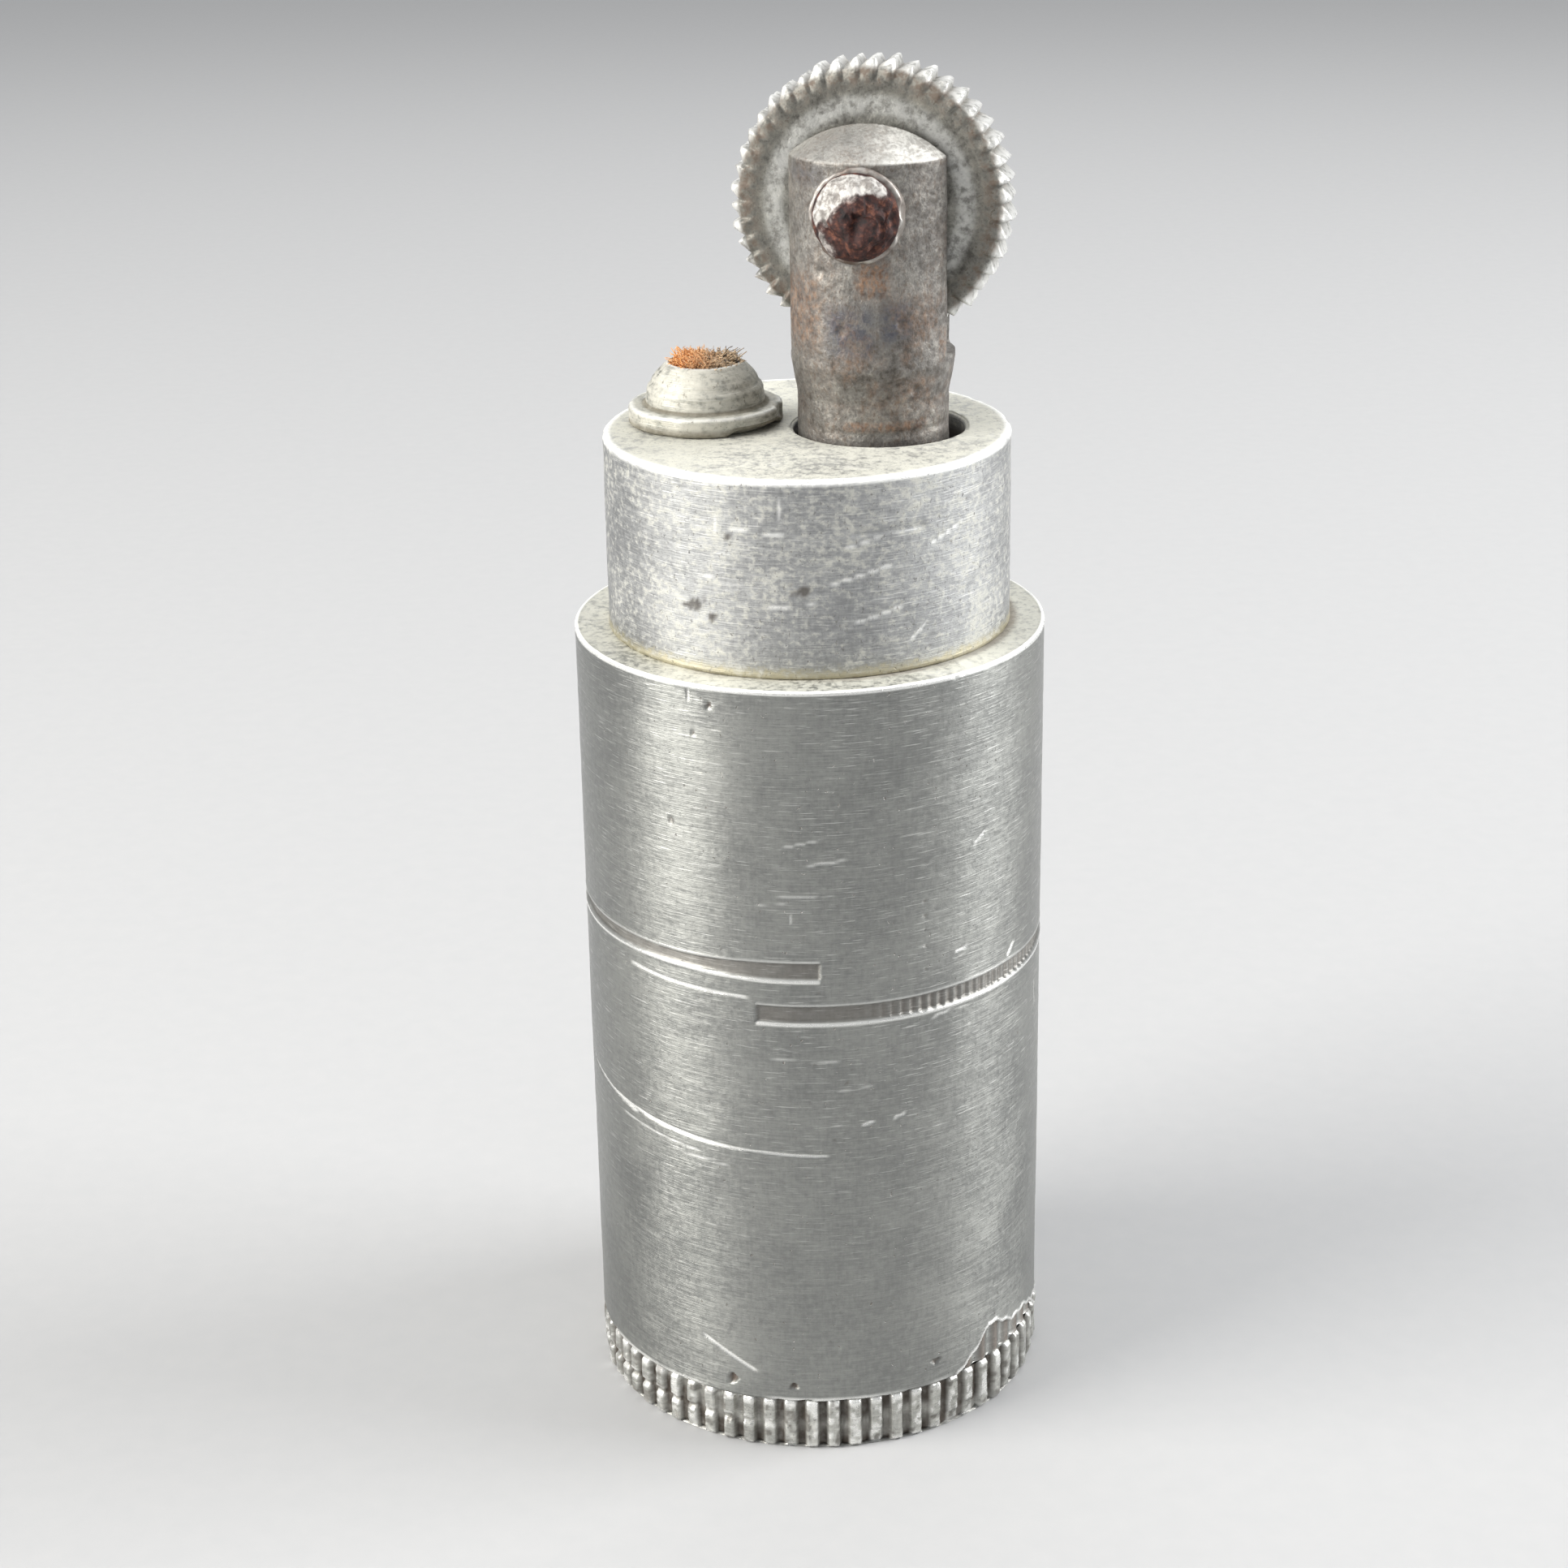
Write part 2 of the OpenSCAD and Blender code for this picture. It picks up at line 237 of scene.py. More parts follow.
def paint(piece, **masks):
    """Keeps each mask on the mesh as a number at each vertex, for the materials."""
    for name, values in masks.items():
        flat = np.zeros(len(piece.data.vertices), np.float32)
        flat[:values.size] = values.reshape(-1)
        piece.data.attributes.new(name, "FLOAT", "POINT").data.foreach_set("value", flat)


def on_axle(points):
    """Points given along the axle, local Z to the front and local Y up, put in their place."""
    front = AXLE_WAY / np.linalg.norm(AXLE_WAY)
    up = np.array([0.0, 0.0, 1.0])
    aside = np.cross(up, front)
    return AXLE_AT + points[..., :1] * aside + points[..., 1:2] * up + points[..., 2:] * front


def carve(piece, *cutters):
    """Cuts the closed cutters out of the piece and removes them."""
    for cutter in cutters:
        made = piece.modifiers.new("cut", "BOOLEAN")
        made.operation = "DIFFERENCE"
        made.solver = "EXACT"
        made.object = cutter
    graph = bpy.context.evaluated_depsgraph_get()
    mesh = bpy.data.meshes.new_from_object(piece.evaluated_get(graph))
    piece.modifiers.clear()
    old = piece.data
    piece.data = mesh
    bpy.data.meshes.remove(old)
    for cutter in cutters:
        bpy.data.objects.remove(cutter)


def drill(outline, centre, columns=96, wobble=0.0, seed=0):
    """A turned cutter on a vertical line through centre, a little out of round if it wobbles."""
    r, z, around = turned(outline, columns)
    r *= 1 + wobble * lumps(seed, spots(np.full_like(r, 3.0), z, around), 2.5)
    return skin("cutter", spots(r, z, around, centre), loop=False)


def rod(radius, low, high, centre):
    """A straight round cutter."""
    return drill([(0.2, low), (radius, low), (radius, high), (0.2, high)], centre)


def thread(z, around, pitch):
    """A right-handed thread's rise and fall from -1 to 1 at each place on it."""
    phase = (z / pitch - around / 360) % 1
    return np.clip((4 * np.abs(phase - 0.5) - 1) * 1.25, -1, 1)


# ---------------------------------------------------------------- material tools

class Finish:
    """Builds one material's nodes. Sizes are in millimetres on the object."""

    def __init__(self, name):
        self.material = bpy.data.materials.new(name)
        self.material.use_nodes = True
        self.tree = self.material.node_tree
        self.shader = self.tree.nodes["Principled BSDF"]
        self.place = self.node("ShaderNodeTexCoord").outputs["Object"]

    def node(self, kind, **settings):
        made = self.tree.nodes.new(kind)
        for key, value in settings.items():
            setattr(made, key, value)
        return made

    def feed(self, socket, value):
        if isinstance(value, bpy.types.NodeSocket):
            self.tree.links.new(value, socket)
        elif isinstance(value, tuple) and len(value) == 3 and socket.type == "RGBA":
            socket.default_value = (*value, 1)
        else:
            socket.default_value = value

    def at(self, size, shift=0.0):
        """Object coordinates in lumps of the given size along x, y and z."""
        size = size if isinstance(size, tuple) else (size, size, size)
        made = self.node("ShaderNodeVectorMath", operation="MULTIPLY_ADD")
        self.feed(made.inputs[0], self.place)
        made.inputs[1].default_value = [1 / (MM * s) for s in size]
        made.inputs[2].default_value = (shift, shift * 1.7, shift * 0.6)
        return made.outputs[0]

    def noise(self, size, detail=3.0, rough=0.55, shift=0.0):
        made = self.node("ShaderNodeTexNoise")
        self.feed(made.inputs["Vector"], self.at(size, shift))
        self.feed(made.inputs["Scale"], 1.0)
        self.feed(made.inputs["Detail"], detail)
        self.feed(made.inputs["Roughness"], rough)
        return made.outputs["Fac"]

    def grains(self, size, shift=0.0):
        """A different even number from 0 to 1 in each little grain."""
        made = self.node("ShaderNodeTexVoronoi")
        self.feed(made.inputs["Vector"], self.at(size, shift))
        self.feed(made.inputs["Scale"], 1.0)
        return made.outputs["Color"]

    def span(self, value, low, high, to_low=0.0, to_high=1.0):
        made = self.node("ShaderNodeMapRange", interpolation_type="SMOOTHSTEP")
        for key, number in (("Value", value), ("From Min", low), ("From Max", high),
                            ("To Min", to_low), ("To Max", to_high)):
            self.feed(made.inputs[key], number)
        return made.outputs["Result"]

    def math(self, operation, a, b=0.0):
        made = self.node("ShaderNodeMath", operation=operation)
        self.feed(made.inputs[0], a)
        self.feed(made.inputs[1], b)
        return made.outputs[0]

    def times(self, a, b):
        return self.math("MULTIPLY", a, b)

    def most(self, a, b):
        return self.math("MAXIMUM", a, b)

    def blend(self, *shares):
        """The sum of (share, value) pairs."""
        total = self.times(shares[0][1], shares[0][0])
        for share, value in shares[1:]:
            made = self.node("ShaderNodeMath", operation="MULTIPLY_ADD")
            self.feed(made.inputs[0], value)
            self.feed(made.inputs[1], share)
            self.feed(made.inputs[2], total)
            total = made.outputs[0]
        return total

    def mix(self, share, a, b):
        made = self.node("ShaderNodeMixRGB")
        self.feed(made.inputs[0], share)
        self.feed(made.inputs[1], a)
        self.feed(made.inputs[2], b)
        return made.outputs[0]

    def coat(self, colour, top, share, strength):
        """The colour with another laid over it, at most as strongly as strength."""
        return self.mix(self.times(share, strength), colour, top)

    def ramp(self, value, *stops):
        made = self.node("ShaderNodeValToRGB")
        self.feed(made.inputs[0], value)
        bar = made.color_ramp.elements
        while len(bar) < len(stops):
            bar.new(0.5)
        for element, (position, colour) in zip(bar, stops):
            element.position = position
            element.color = (*colour, 1)
        return made.outputs["Color"]

    def mask(self, name):
        return self.node("ShaderNodeAttribute", attribute_name=name).outputs["Fac"]

    def along(self, axis):
        """The object's own coordinate x, y or z in millimetres."""
        made = self.node("ShaderNodeSeparateXYZ")
        self.feed(made.inputs[0], self.place)
        return self.times(made.outputs["XYZ".index(axis)], 1 / MM)

    def off_axis(self):
        """Distance from the vertical middle line in millimetres."""
        flat = self.node("ShaderNodeVectorMath", operation="MULTIPLY")
        self.feed(flat.inputs[0], self.place)
        flat.inputs[1].default_value = (1 / MM, 1 / MM, 0)
        made = self.node("ShaderNodeVectorMath", operation="LENGTH")
        self.feed(made.inputs[0], flat.outputs[0])
        return made.outputs["Value"]

    def bump(self, height, depth, under=None):
        made = self.node("ShaderNodeBump")
        self.feed(made.inputs["Distance"], depth * MM)
        self.feed(made.inputs["Height"], height)
        if under is not None:
            self.feed(made.inputs["Normal"], under)
        return made.outputs["Normal"]

    def done(self, colour, roughness, metallic=0.0, normal=None):
        self.feed(self.shader.inputs["Base Color"], colour)
        self.feed(self.shader.inputs["Roughness"], roughness)
        self.feed(self.shader.inputs["Metallic"], metallic)
        if normal is not None:
            self.feed(self.shader.inputs["Normal"], normal)
        return self.material


# ---------------------------------------------------------------- materials

def aged_aluminium(name, bright, dull, oxide, stain, gloss, bloom_at, brushed, creased,
                   chalk_from=None, seam_at=None):
    """Satin aluminium with turning streaks, hairlines, pale oxide above the noise level bloom_at and on faces
    above chalk_from, painted shade on the walls of holes below chalk_from, yellow grime just above seam_at,
    a dark stain where 'dirt' is painted, grime on most pieces and painted shade on the ferrule, and pale
    rubbed metal where 'wear' is painted, partly a painted highlight on the rims of the head and the ferrule."""
    f = Finish(name)
    streaks = f.noise((1.8, 1.8, 0.06), detail=4)
    hairs = f.noise((1.1, 1.1, 0.045), detail=2, shift=3.1)
    uprights = f.noise((0.11, 0.11, 0.8), detail=3, shift=6.4)
    patches = f.noise(3.2, detail=4, shift=7.7)
    grain = f.grains(0.15, shift=1.9)
    bloom = f.noise((0.32, 0.32, 0.24), detail=5, rough=0.65, shift=11.3)
    flecks = f.span(f.noise(0.2, detail=3, shift=2.2), 0.68, 0.75)
    creases = f.noise((0.13, 0.13, 0.17), detail=4, shift=15.3)
    height = f.along("Z")
    tone = f.blend((0.3, patches), (0.25, streaks), (0.12, uprights), (0.28, bloom), (0.05, grain))
    colour = f.mix(f.span(tone, 0.38, 0.6), dull, bright)
    hairline = f.times(f.span(hairs, 0.6, 0.72), f.span(height, 5.0, 16.0, 0.12, 0.5))
    colour = f.mix(hairline, colour, (0.86, 0.86, 0.83))
    cloud = f.blend((0.65, bloom), (0.25, patches), (0.1, creases))
    chalk = f.span(cloud, bloom_at, bloom_at + 0.14, 0.0, 0.6)
    dirt = f.times(f.mask("dirt"), f.span(f.noise(0.5, shift=5.5), 0.3, 0.6, 0.8, 1.0))
    if chalk_from is not None:
        flat_top = f.span(height, chalk_from - 0.06, chalk_from)
        mottled = f.span(f.blend((0.5, bloom), (0.3, creases), (0.2, patches)), 0.38, 0.54, 0.3, 1.0)
        chalk = f.most(chalk, f.times(flat_top, mottled))
        # Painted shade: from 0.15 mm below chalk_from, and fully from 0.7 mm below it, faces within 7 mm of the
        # axis (the walls of the head's holes) take the dark stain colour.
        below = f.span(height, chalk_from - 0.7, chalk_from - 0.15, 1.0, 0.0)
        dirt = f.most(dirt, f.times(below, f.span(f.off_axis(), 7.0, 7.6, 1.0, 0.0)))
    colour = f.coat(colour, oxide, chalk, 0.8)
    if seam_at is not None:
        reach = f.span(f.blend((1.0, height), (1.2, bloom)), seam_at + 0.65, seam_at + 1.15, 0.75, 0.0)
        colour = f.mix(reach, colour, (0.6, 0.55, 0.38))
    wear = f.mask("wear")
    colour = f.coat(colour, (0.95, 0.95, 0.92), wear, 0.85)
    dirt = f.most(dirt, f.times(flecks, 0.5))
    dirt = f.most(dirt, f.times(f.span(creases, 0.58, 0.75), creased))
    colour = f.coat(colour, stain, dirt, 0.95)
    rough = f.span(f.blend((0.5, streaks), (0.3, patches), (0.2, grain)), 0.35, 0.65, gloss[0], gloss[1])
    rough = f.blend((1.0, rough), (0.2, chalk), (0.25, dirt), (-0.1, wear))
    metal = f.blend((-0.75, dirt), (-0.6, chalk), (-0.4, wear), (1.0, 1.0))
    normal = f.bump(streaks, 0.009)
    normal = f.bump(hairs, 0.012, normal)
    normal = f.bump(bloom, 0.014, normal)
    normal = f.bump(f.math("SUBTRACT", 1.0, flecks), 0.02, normal)
    if brushed:
        tangent = f.node("ShaderNodeTangent", direction_type="RADIAL", axis="Z")
        f.feed(f.shader.inputs["Tangent"], tangent.outputs[0])
        f.shader.inputs["Anisotropic"].default_value = brushed
        f.shader.inputs["Anisotropic Rotation"].default_value = 0.25
    return f.done(colour, rough, metal, normal)


def stained_post():
    """Grey, grainy and nearly matt, with rust where 'dirt' is painted, soot where 'soot' is painted and a pale
    dome where 'wear' is painted, partly rubbed metal and partly a painted highlight on its right side."""
    f = Finish("post_metal")
    mottle = f.noise((0.4, 0.4, 0.34), detail=6, rough=0.68)
    grain = f.grains(0.13)
    patches = f.noise(1.7, detail=4, shift=4.4)
    creases = f.noise((0.14, 0.14, 0.2), detail=4, shift=7.2)
    tone = f.blend((0.42, mottle), (0.05, grain), (0.33, patches), (0.2, creases))
    colour = f.ramp(tone, (0.38, (0.09, 0.08, 0.07)), (0.5, (0.21, 0.2, 0.185)),
                    (0.62, (0.38, 0.365, 0.33)))
    colour = f.mix(f.span(creases, 0.5, 0.68, 0.0, 0.6), colour, (0.1, 0.078, 0.06))
    wear = f.times(f.mask("wear"), f.span(f.blend((0.6, mottle), (0.4, creases)), 0.6, 0.4, 0.5, 1.0))
    colour = f.coat(colour, (0.88, 0.87, 0.82), wear, 0.9)
    soot = f.times(f.mask("soot"), f.span(mottle, 0.4, 0.58, 0.2, 1.0))
    colour = f.coat(colour, (0.07, 0.075, 0.1), soot, 0.8)
    rust_colour = f.ramp(f.noise(0.28, detail=4, shift=9.0), (0.35, (0.07, 0.028, 0.015)),
                         (0.68, (0.4, 0.23, 0.13)))
    rust = f.times(f.mask("dirt"), f.span(creases, 0.35, 0.6, 0.3, 1.0))
    colour = f.coat(colour, rust_colour, rust, 0.85)
    rough = f.blend((1.0, f.span(mottle, 0.35, 0.65, 0.62, 0.46)), (0.25, rust), (-0.08, wear))
    metal = f.blend((0.75, 1.0), (-0.6, rust), (-0.25, wear))
    normal = f.bump(mottle, 0.035)
    normal = f.bump(creases, 0.03, normal)
    return f.done(colour, rough, metal, normal)


def wheel_zinc():
    """Grainy grey wheel face with bright worn teeth, brown grime between some of them and a pale ring in the dish,
    partly worn metal and partly a painted sheen.
    """
    f = Finish("wheel_metal")
    mottle = f.noise(0.38, detail=6, rough=0.65)
    grain = f.grains(0.13)
    patches = f.noise(2.0, detail=3, shift=6.1)
    creases = f.noise(0.15, detail=4, shift=7.2)
    tone = f.blend((0.42, mottle), (0.05, grain), (0.33, patches), (0.2, creases))
    colour = f.ramp(tone, (0.38, (0.1, 0.095, 0.085)), (0.5, (0.23, 0.225, 0.2)),
                    (0.64, (0.4, 0.39, 0.34)))
    colour = f.mix(f.span(creases, 0.55, 0.7, 0.0, 0.6), colour, (0.08, 0.065, 0.05))
    wear = f.times(f.mask("wear"), f.span(mottle, 0.34, 0.58, 0.3, 1.0))
    colour = f.mix(wear, colour, (0.94, 0.94, 0.91))
    dirt = f.times(f.mask("dirt"), f.span(f.blend((0.35, patches), (0.65, mottle)), 0.44, 0.6))
    colour = f.coat(colour, (0.1, 0.062, 0.04), dirt, 0.8)
    rough = f.blend((1.0, f.span(mottle, 0.3, 0.7, 0.58, 0.44)), (-0.16, wear), (0.2, dirt))
    metal = f.blend((0.8, 1.0), (-0.6, dirt), (-0.3, wear))
    return f.done(colour, rough, metal, f.bump(creases, 0.015, f.bump(mottle, 0.03)))


def rusty_steel():
    """Nearly black and red-brown rust, with bare steel where 'wear' is painted; on the rivet that mask is partly a
    painted highlight on the head's upper and left sides.
    """
    f = Finish("rusty_steel")
    grain = f.noise(0.3, detail=6, rough=0.65)
    patches = f.noise(0.9, detail=4, shift=3.7)
    colour = f.ramp(grain, (0.36, (0.012, 0.007, 0.007)), (0.52, (0.055, 0.018, 0.014)),
                    (0.74, (0.24, 0.09, 0.05)))
    bare = f.span(f.blend((0.75, f.mask("wear")), (0.5, patches), (0.2, grain)), 0.58, 0.78)
    steel = f.mix(f.span(grain, 0.4, 0.6), (0.28, 0.26, 0.24), (0.62, 0.6, 0.57))
    colour = f.mix(bare, colour, steel)
    rough = f.span(bare, 0.0, 1.0, 0.66, 0.58)
    metal = f.span(bare, 0.0, 1.0, 0.25, 0.4)
    return f.done(colour, rough, metal, f.bump(grain, 0.07))


def plain_metal(name, bright, dull, gloss, grain_size=0.4, stretch=1.0):
    """Clean-turned metal with soft tarnish."""
    f = Finish(name)
    tarnish = f.noise(1.4, detail=5)
    grain = f.noise((grain_size, grain_size, grain_size * stretch), detail=4, shift=2.5)
    colour = f.mix(f.span(tarnish, 0.35, 0.65), dull, bright)
    colour = f.mix(f.span(grain, 0.55, 0.75, 0.0, 0.35), colour, dull)
    rough = f.span(tarnish, 0.3, 0.7, gloss[1], gloss[0])
    return f.done(colour, rough, 1.0, f.bump(grain, 0.02))


def flint_alloy():
    """Dark, dull and brittle-looking."""
    f = Finish("flint_alloy")
    grain = f.noise(0.18, detail=6, rough=0.7)
    colour = f.ramp(grain, (0.3, (0.08, 0.08, 0.085)), (0.7, (0.27, 0.26, 0.27)))
    return f.done(colour, f.span(grain, 0.3, 0.7, 0.7, 0.5), 0.6, f.bump(grain, 0.04))


def fibre():
    """Oiled pressed fibre: flecks running every way in the flat."""
    f = Finish("fibre")
    flecks = f.noise((0.5, 0.5, 0.1), detail=6, rough=0.65)
    soak = f.noise(2.0, detail=3, shift=4.0)
    colour = f.ramp(flecks, (0.3, (0.05, 0.03, 0.02)), (0.7, (0.3, 0.17, 0.1)))
    colour = f.mix(f.span(soak, 0.45, 0.65, 0.0, 0.5), colour, (0.035, 0.025, 0.02))
    return f.done(colour, f.span(soak, 0.4, 0.65, 0.75, 0.42), 0.0, f.bump(flecks, 0.04))


def charred_cotton():
    """Cotton strands: orange tan to the left, sandy and speckled with char to the right and at the tips."""
    f = Finish("wick_cotton")
    strand = f.noise((0.18, 0.18, 0.6), detail=4)
    speck = f.noise(0.22, detail=4, rough=0.7, shift=5.0)
    sides = f.span(f.along("X"), wick_low[0] + 0.2, wick_high[0] - 0.3)
    colour = f.mix(sides, (0.74, 0.32, 0.08), (0.56, 0.41, 0.26))
    colour = f.mix(f.span(strand, 0.4, 0.75, 0.0, 0.6), colour, (0.85, 0.62, 0.38))
    tips = f.span(f.along("Z"), FERRULE_TOP + 0.1, FERRULE_TOP + 1.4, 0.0, 0.12)
    char = f.blend((0.1, sides), (1.0, speck), (1.0, tips))
    colour = f.mix(f.span(char, 0.6, 0.72, 0.0, 0.93), colour, (0.02, 0.016, 0.014))
    f.shader.inputs["Sheen Weight"].default_value = 0.3
    f.shader.inputs["Sheen Roughness"].default_value = 0.5
    return f.done(colour, 0.92, 0.0, f.bump(strand, 0.05))


def soft_fibre(name, pale, shade, size):
    """Matted cotton or felt: fine crossing hairs with soft shading."""
    f = Finish(name)
    hairs = f.noise((size, size * 0.25, size * 0.25), detail=6, rough=0.7)
    across = f.noise((size * 0.25, size, size * 0.25), detail=6, rough=0.7, shift=3.0)
    both = f.most(hairs, across)
    soak = f.noise(3.0, detail=3, shift=8.0)
    colour = f.mix(f.span(both, 0.42, 0.7), shade, pale)
    colour = f.mix(f.span(soak, 0.5, 0.7, 0.0, 0.35), colour, shade)
    f.shader.inputs["Sheen Weight"].default_value = 0.4
    f.shader.inputs["Sheen Roughness"].default_value = 0.6
    return f.done(colour, 0.95, 0.0, f.bump(both, 0.1))


def pale_floor():
    f = Finish("floor_paper")
    grain = f.noise(1.2, detail=3)
    colour = f.mix(grain, (0.43, 0.433, 0.437), (0.46, 0.46, 0.46))
    return f.done(colour, 0.75, 0.0, f.bump(grain, 0.01))


MATERIALS = {
    "sleeve_aluminium": aged_aluminium(
        "sleeve_aluminium", bright=(0.36, 0.365, 0.345), dull=(0.25, 0.255, 0.245), oxide=(0.74, 0.73, 0.64),
        stain=(0.1, 0.07, 0.05), gloss=(0.3, 0.44), bloom_at=0.62, brushed=0.75, creased=0.15,
        chalk_from=SLEEVE_TOP - 0.03),
    "head_aluminium": aged_aluminium(
        "head_aluminium", bright=(0.48, 0.485, 0.48), dull=(0.31, 0.315, 0.315), oxide=(0.7, 0.69, 0.6),
        stain=(0.1, 0.09, 0.08), gloss=(0.48, 0.62), bloom_at=0.48, brushed=0.3, creased=0.6,
        chalk_from=HEAD_TOP - 0.08, seam_at=SLEEVE_TOP),
    "cap_aluminium": aged_aluminium(
        "cap_aluminium", bright=(0.66, 0.66, 0.62), dull=(0.42, 0.42, 0.39), oxide=(0.8, 0.78, 0.7),
        stain=(0.035, 0.022, 0.012), gloss=(0.26, 0.44), bloom_at=0.54, brushed=0.0, creased=0.5),
    "ferrule_metal": aged_aluminium(
        "ferrule_metal", bright=(0.56, 0.55, 0.5), dull=(0.36, 0.36, 0.32), oxide=(0.68, 0.66, 0.58),
        stain=(0.12, 0.1, 0.06), gloss=(0.5, 0.66), bloom_at=0.4, brushed=0.0, creased=0.7),
    "post_metal": stained_post(),
    "wheel_metal": wheel_zinc(),
    "rusty_steel": rusty_steel(),
    "washer_metal": plain_metal("washer_metal", (0.5, 0.48, 0.45), (0.16, 0.12, 0.1), (0.5, 0.66), 0.3),
    "brass": plain_metal("brass", (0.75, 0.56, 0.26), (0.4, 0.27, 0.12), (0.25, 0.45), 0.3, 0.3),
    "spring_steel": plain_metal("spring_steel", (0.6, 0.61, 0.63), (0.33, 0.32, 0.33), (0.22, 0.4)),
    "flint_alloy": flint_alloy(),
    "fibre": fibre(),
    "wick_cotton": charred_cotton(),
    "wadding_cotton": soft_fibre("wadding_cotton", (0.82, 0.79, 0.71), (0.5, 0.46, 0.38), 1.2),
    "felt": soft_fibre("felt", (0.45, 0.42, 0.38), (0.2, 0.18, 0.16), 0.8),
}


def dress(piece, node):
    """The piece stands for the node: its body, its material slot and its finish."""
    piece.data.materials.append(MATERIALS[SLOTS[node]])
    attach(piece, BODIES[node])
    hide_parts(node)


# ---------------------------------------------------------------- the sleeve

GROOVE = {"start": -15, "end": 361, "low": 19.95, "high": 21.8, "half": 0.3, "depth": 0.13}
# Scratches as (from angle, from height, to angle, to height, width, depth), in degrees and mm
SCRATCHES = [(-84, 14.8, -50, 14.0, 0.1, 0.06), (-62, 14.3, -18, 13.8, 0.1, 0.07),
             (-30, 13.9, 3, 13.7, 0.09, 0.05), (-52, 20.8, -16, 20.6, 0.1, 0.02),
             (-58, 13.7, -30, 13.4, 0.07, 0.02), (-40, 13.2, -22, 13.0, 0.06, 0.02),
             (-10, 25.0, 1, 25.0, 0.05, 0.03), (-9, 27.0, 2, 27.4, 0.06, 0.04),
             (-3, 26.3, 8, 26.5, 0.07, 0.04), (-15, 24.6, -6, 24.7, 0.05, 0.03),
             (-6, 24.3, -6, 23.8, 0.06, 0.03), (41, 26.1, 46, 26.6, 0.08, 0.05),
             (35, 21.8, 40, 21.9, 0.09, 0.04), (73, 18.3, 74, 16.8, 0.1, 0.05),
             (10, 15.0, 14, 15.1, 0.09, 0.05), (18, 15.1, 22, 15.3, 0.09, 0.05),
             (-32, 4.9, -16, 3.5, 0.12, 0.05), (-30, 33.3, -30, 32.6, 0.06, 0.05),
             (54, 20.5, 58, 21.1, 0.1, 0.04), (28, 19.2, 35, 19.4, 0.08, 0.03),
             (-12, 18.0, 6, 17.9, 0.05, 0.025), (4, 16.6, 14, 16.7, 0.05, 0.025),
             (84, 9.0, 104, 9.6, 0.12, 0.03), (118, 26.4, 152, 26.1, 0.09, 0.05),
             (170, 12.2, 196, 12.9, 0.07, 0.04), (201, 29.0, 226, 28.1, 0.07, 0.04),
             (128, 8.3, 141, 9.2, 0.08, 0.04), (232, 17.3, 252, 17.9, 0.07, 0.03)]
HEAD_SCRATCHES = [(8, 38.5, 20, 38.9, 0.06, 0.03), (-24, 39.3, -2, 39.0, 0.05, 0.025),
                  (4, 37.1, 24, 37.8, 0.07, 0.035), (10, 35.5, 27, 36.1, 0.07, 0.035),
                  (27, 34.5, 34, 35.3, 0.08, 0.035), (-40, 37.4, -26, 37.3, 0.05, 0.025),
                  (-14, 36.2, 2, 36.4, 0.05, 0.02), (33, 38.2, 47, 38.9, 0.06, 0.03),
                  (-8, 40.6, -8, 39.6, 0.06, 0.03), (-26, 39.8, -26, 38.9, 0.05, 0.02),
                  (110, 37.2, 138, 37.8, 0.07, 0.03), (188, 38.6, 230, 38.2, 0.07, 0.03)]
# Dark stains on the head as (angle, height, radius)
HEAD_STAINS = [(-3, 36.9, 0.5), (-33, 36.1, 0.55), (-28, 35.7, 0.3), (-22, 38.9, 0.2)]
# Pits in the sleeve as (angle, height, radius, depth)
PITS = [(-25, 32.6, 0.16, 0.12), (-29, 31.4, 0.13, 0.1), (-23, 3.0, 0.2, 0.14), (-7, 3.0, 0.18, 0.14),
        (27, 24.3, 0.09, 0.05), (27, 23.7, 0.08, 0.05), (27, 23.1, 0.1, 0.05), (27, 22.4, 0.09, 0.05),
        (27, 21.4, 0.08, 0.04), (-36, 27.6, 0.13, 0.07), (30, 3.3, 0.15, 0.1), (7, 16.9, 0.1, 0.05)]


def stroke(around, z, scratch, radius):
    """How deep a scratch is at each place, from 0 to its depth, tapering to its ends."""
    a0, z0, a1, z1, width, depth = scratch
    mm_per_degree = math.radians(radius)
    along = np.array([(a1 - a0) * mm_per_degree, z1 - z0])
    length = np.linalg.norm(along)
    way = along / length
    dx = turn_from(around, (a0 + a1) / 2) * mm_per_degree
    dz = z - (z0 + z1) / 2
    run = dx * way[0] + dz * way[1]
    off = np.abs(-dx * way[1] + dz * way[0])
    ends = 1 - step_up(np.abs(run), length / 2 - 0.25 * min(length, 1.5), length / 2)
    return depth * ends * (1 - step_up(off, width * 0.35, width))


def cutter_groove(around, z):
    """Depth and burr of the groove that winds once round the sleeve and passes its own start."""
    depth, lip = np.zeros_like(z), np.zeros_like(z)
    for turn in (around, around + 360):
        started = step_up(turn, GROOVE["start"], GROOVE["start"] + 0.6)
        inside = started * (1 - step_up(turn, GROOVE["end"] - 0.6, GROOVE["end"]))
        centre = GROOVE["low"] + (GROOVE["high"] - GROOVE["low"]) * step_up(turn, 70, 290)
        half = GROOVE["half"] * (0.62 + 0.38 * ridge(turn, 0, 50, 60) + 0.38 * step_up(turn, 325, 350))
        shaky = step_up(turn, 5, 20) * (1 - step_up(turn, 90, 120))
        chatter = 1 + 0.25 * shaky * np.sin(np.radians(turn * 140))
        depth = np.maximum(depth, GROOVE["depth"] * chatter * inside * ridge(z, centre, half, 0.07))
        lip = np.maximum(lip, inside * ridge(z, centre - half - 0.13, 0.03, 0.07))
        lip = np.maximum(lip, inside * 0.5 * ridge(z, centre + half + 0.13, 0.02, 0.06))
    return depth, lip


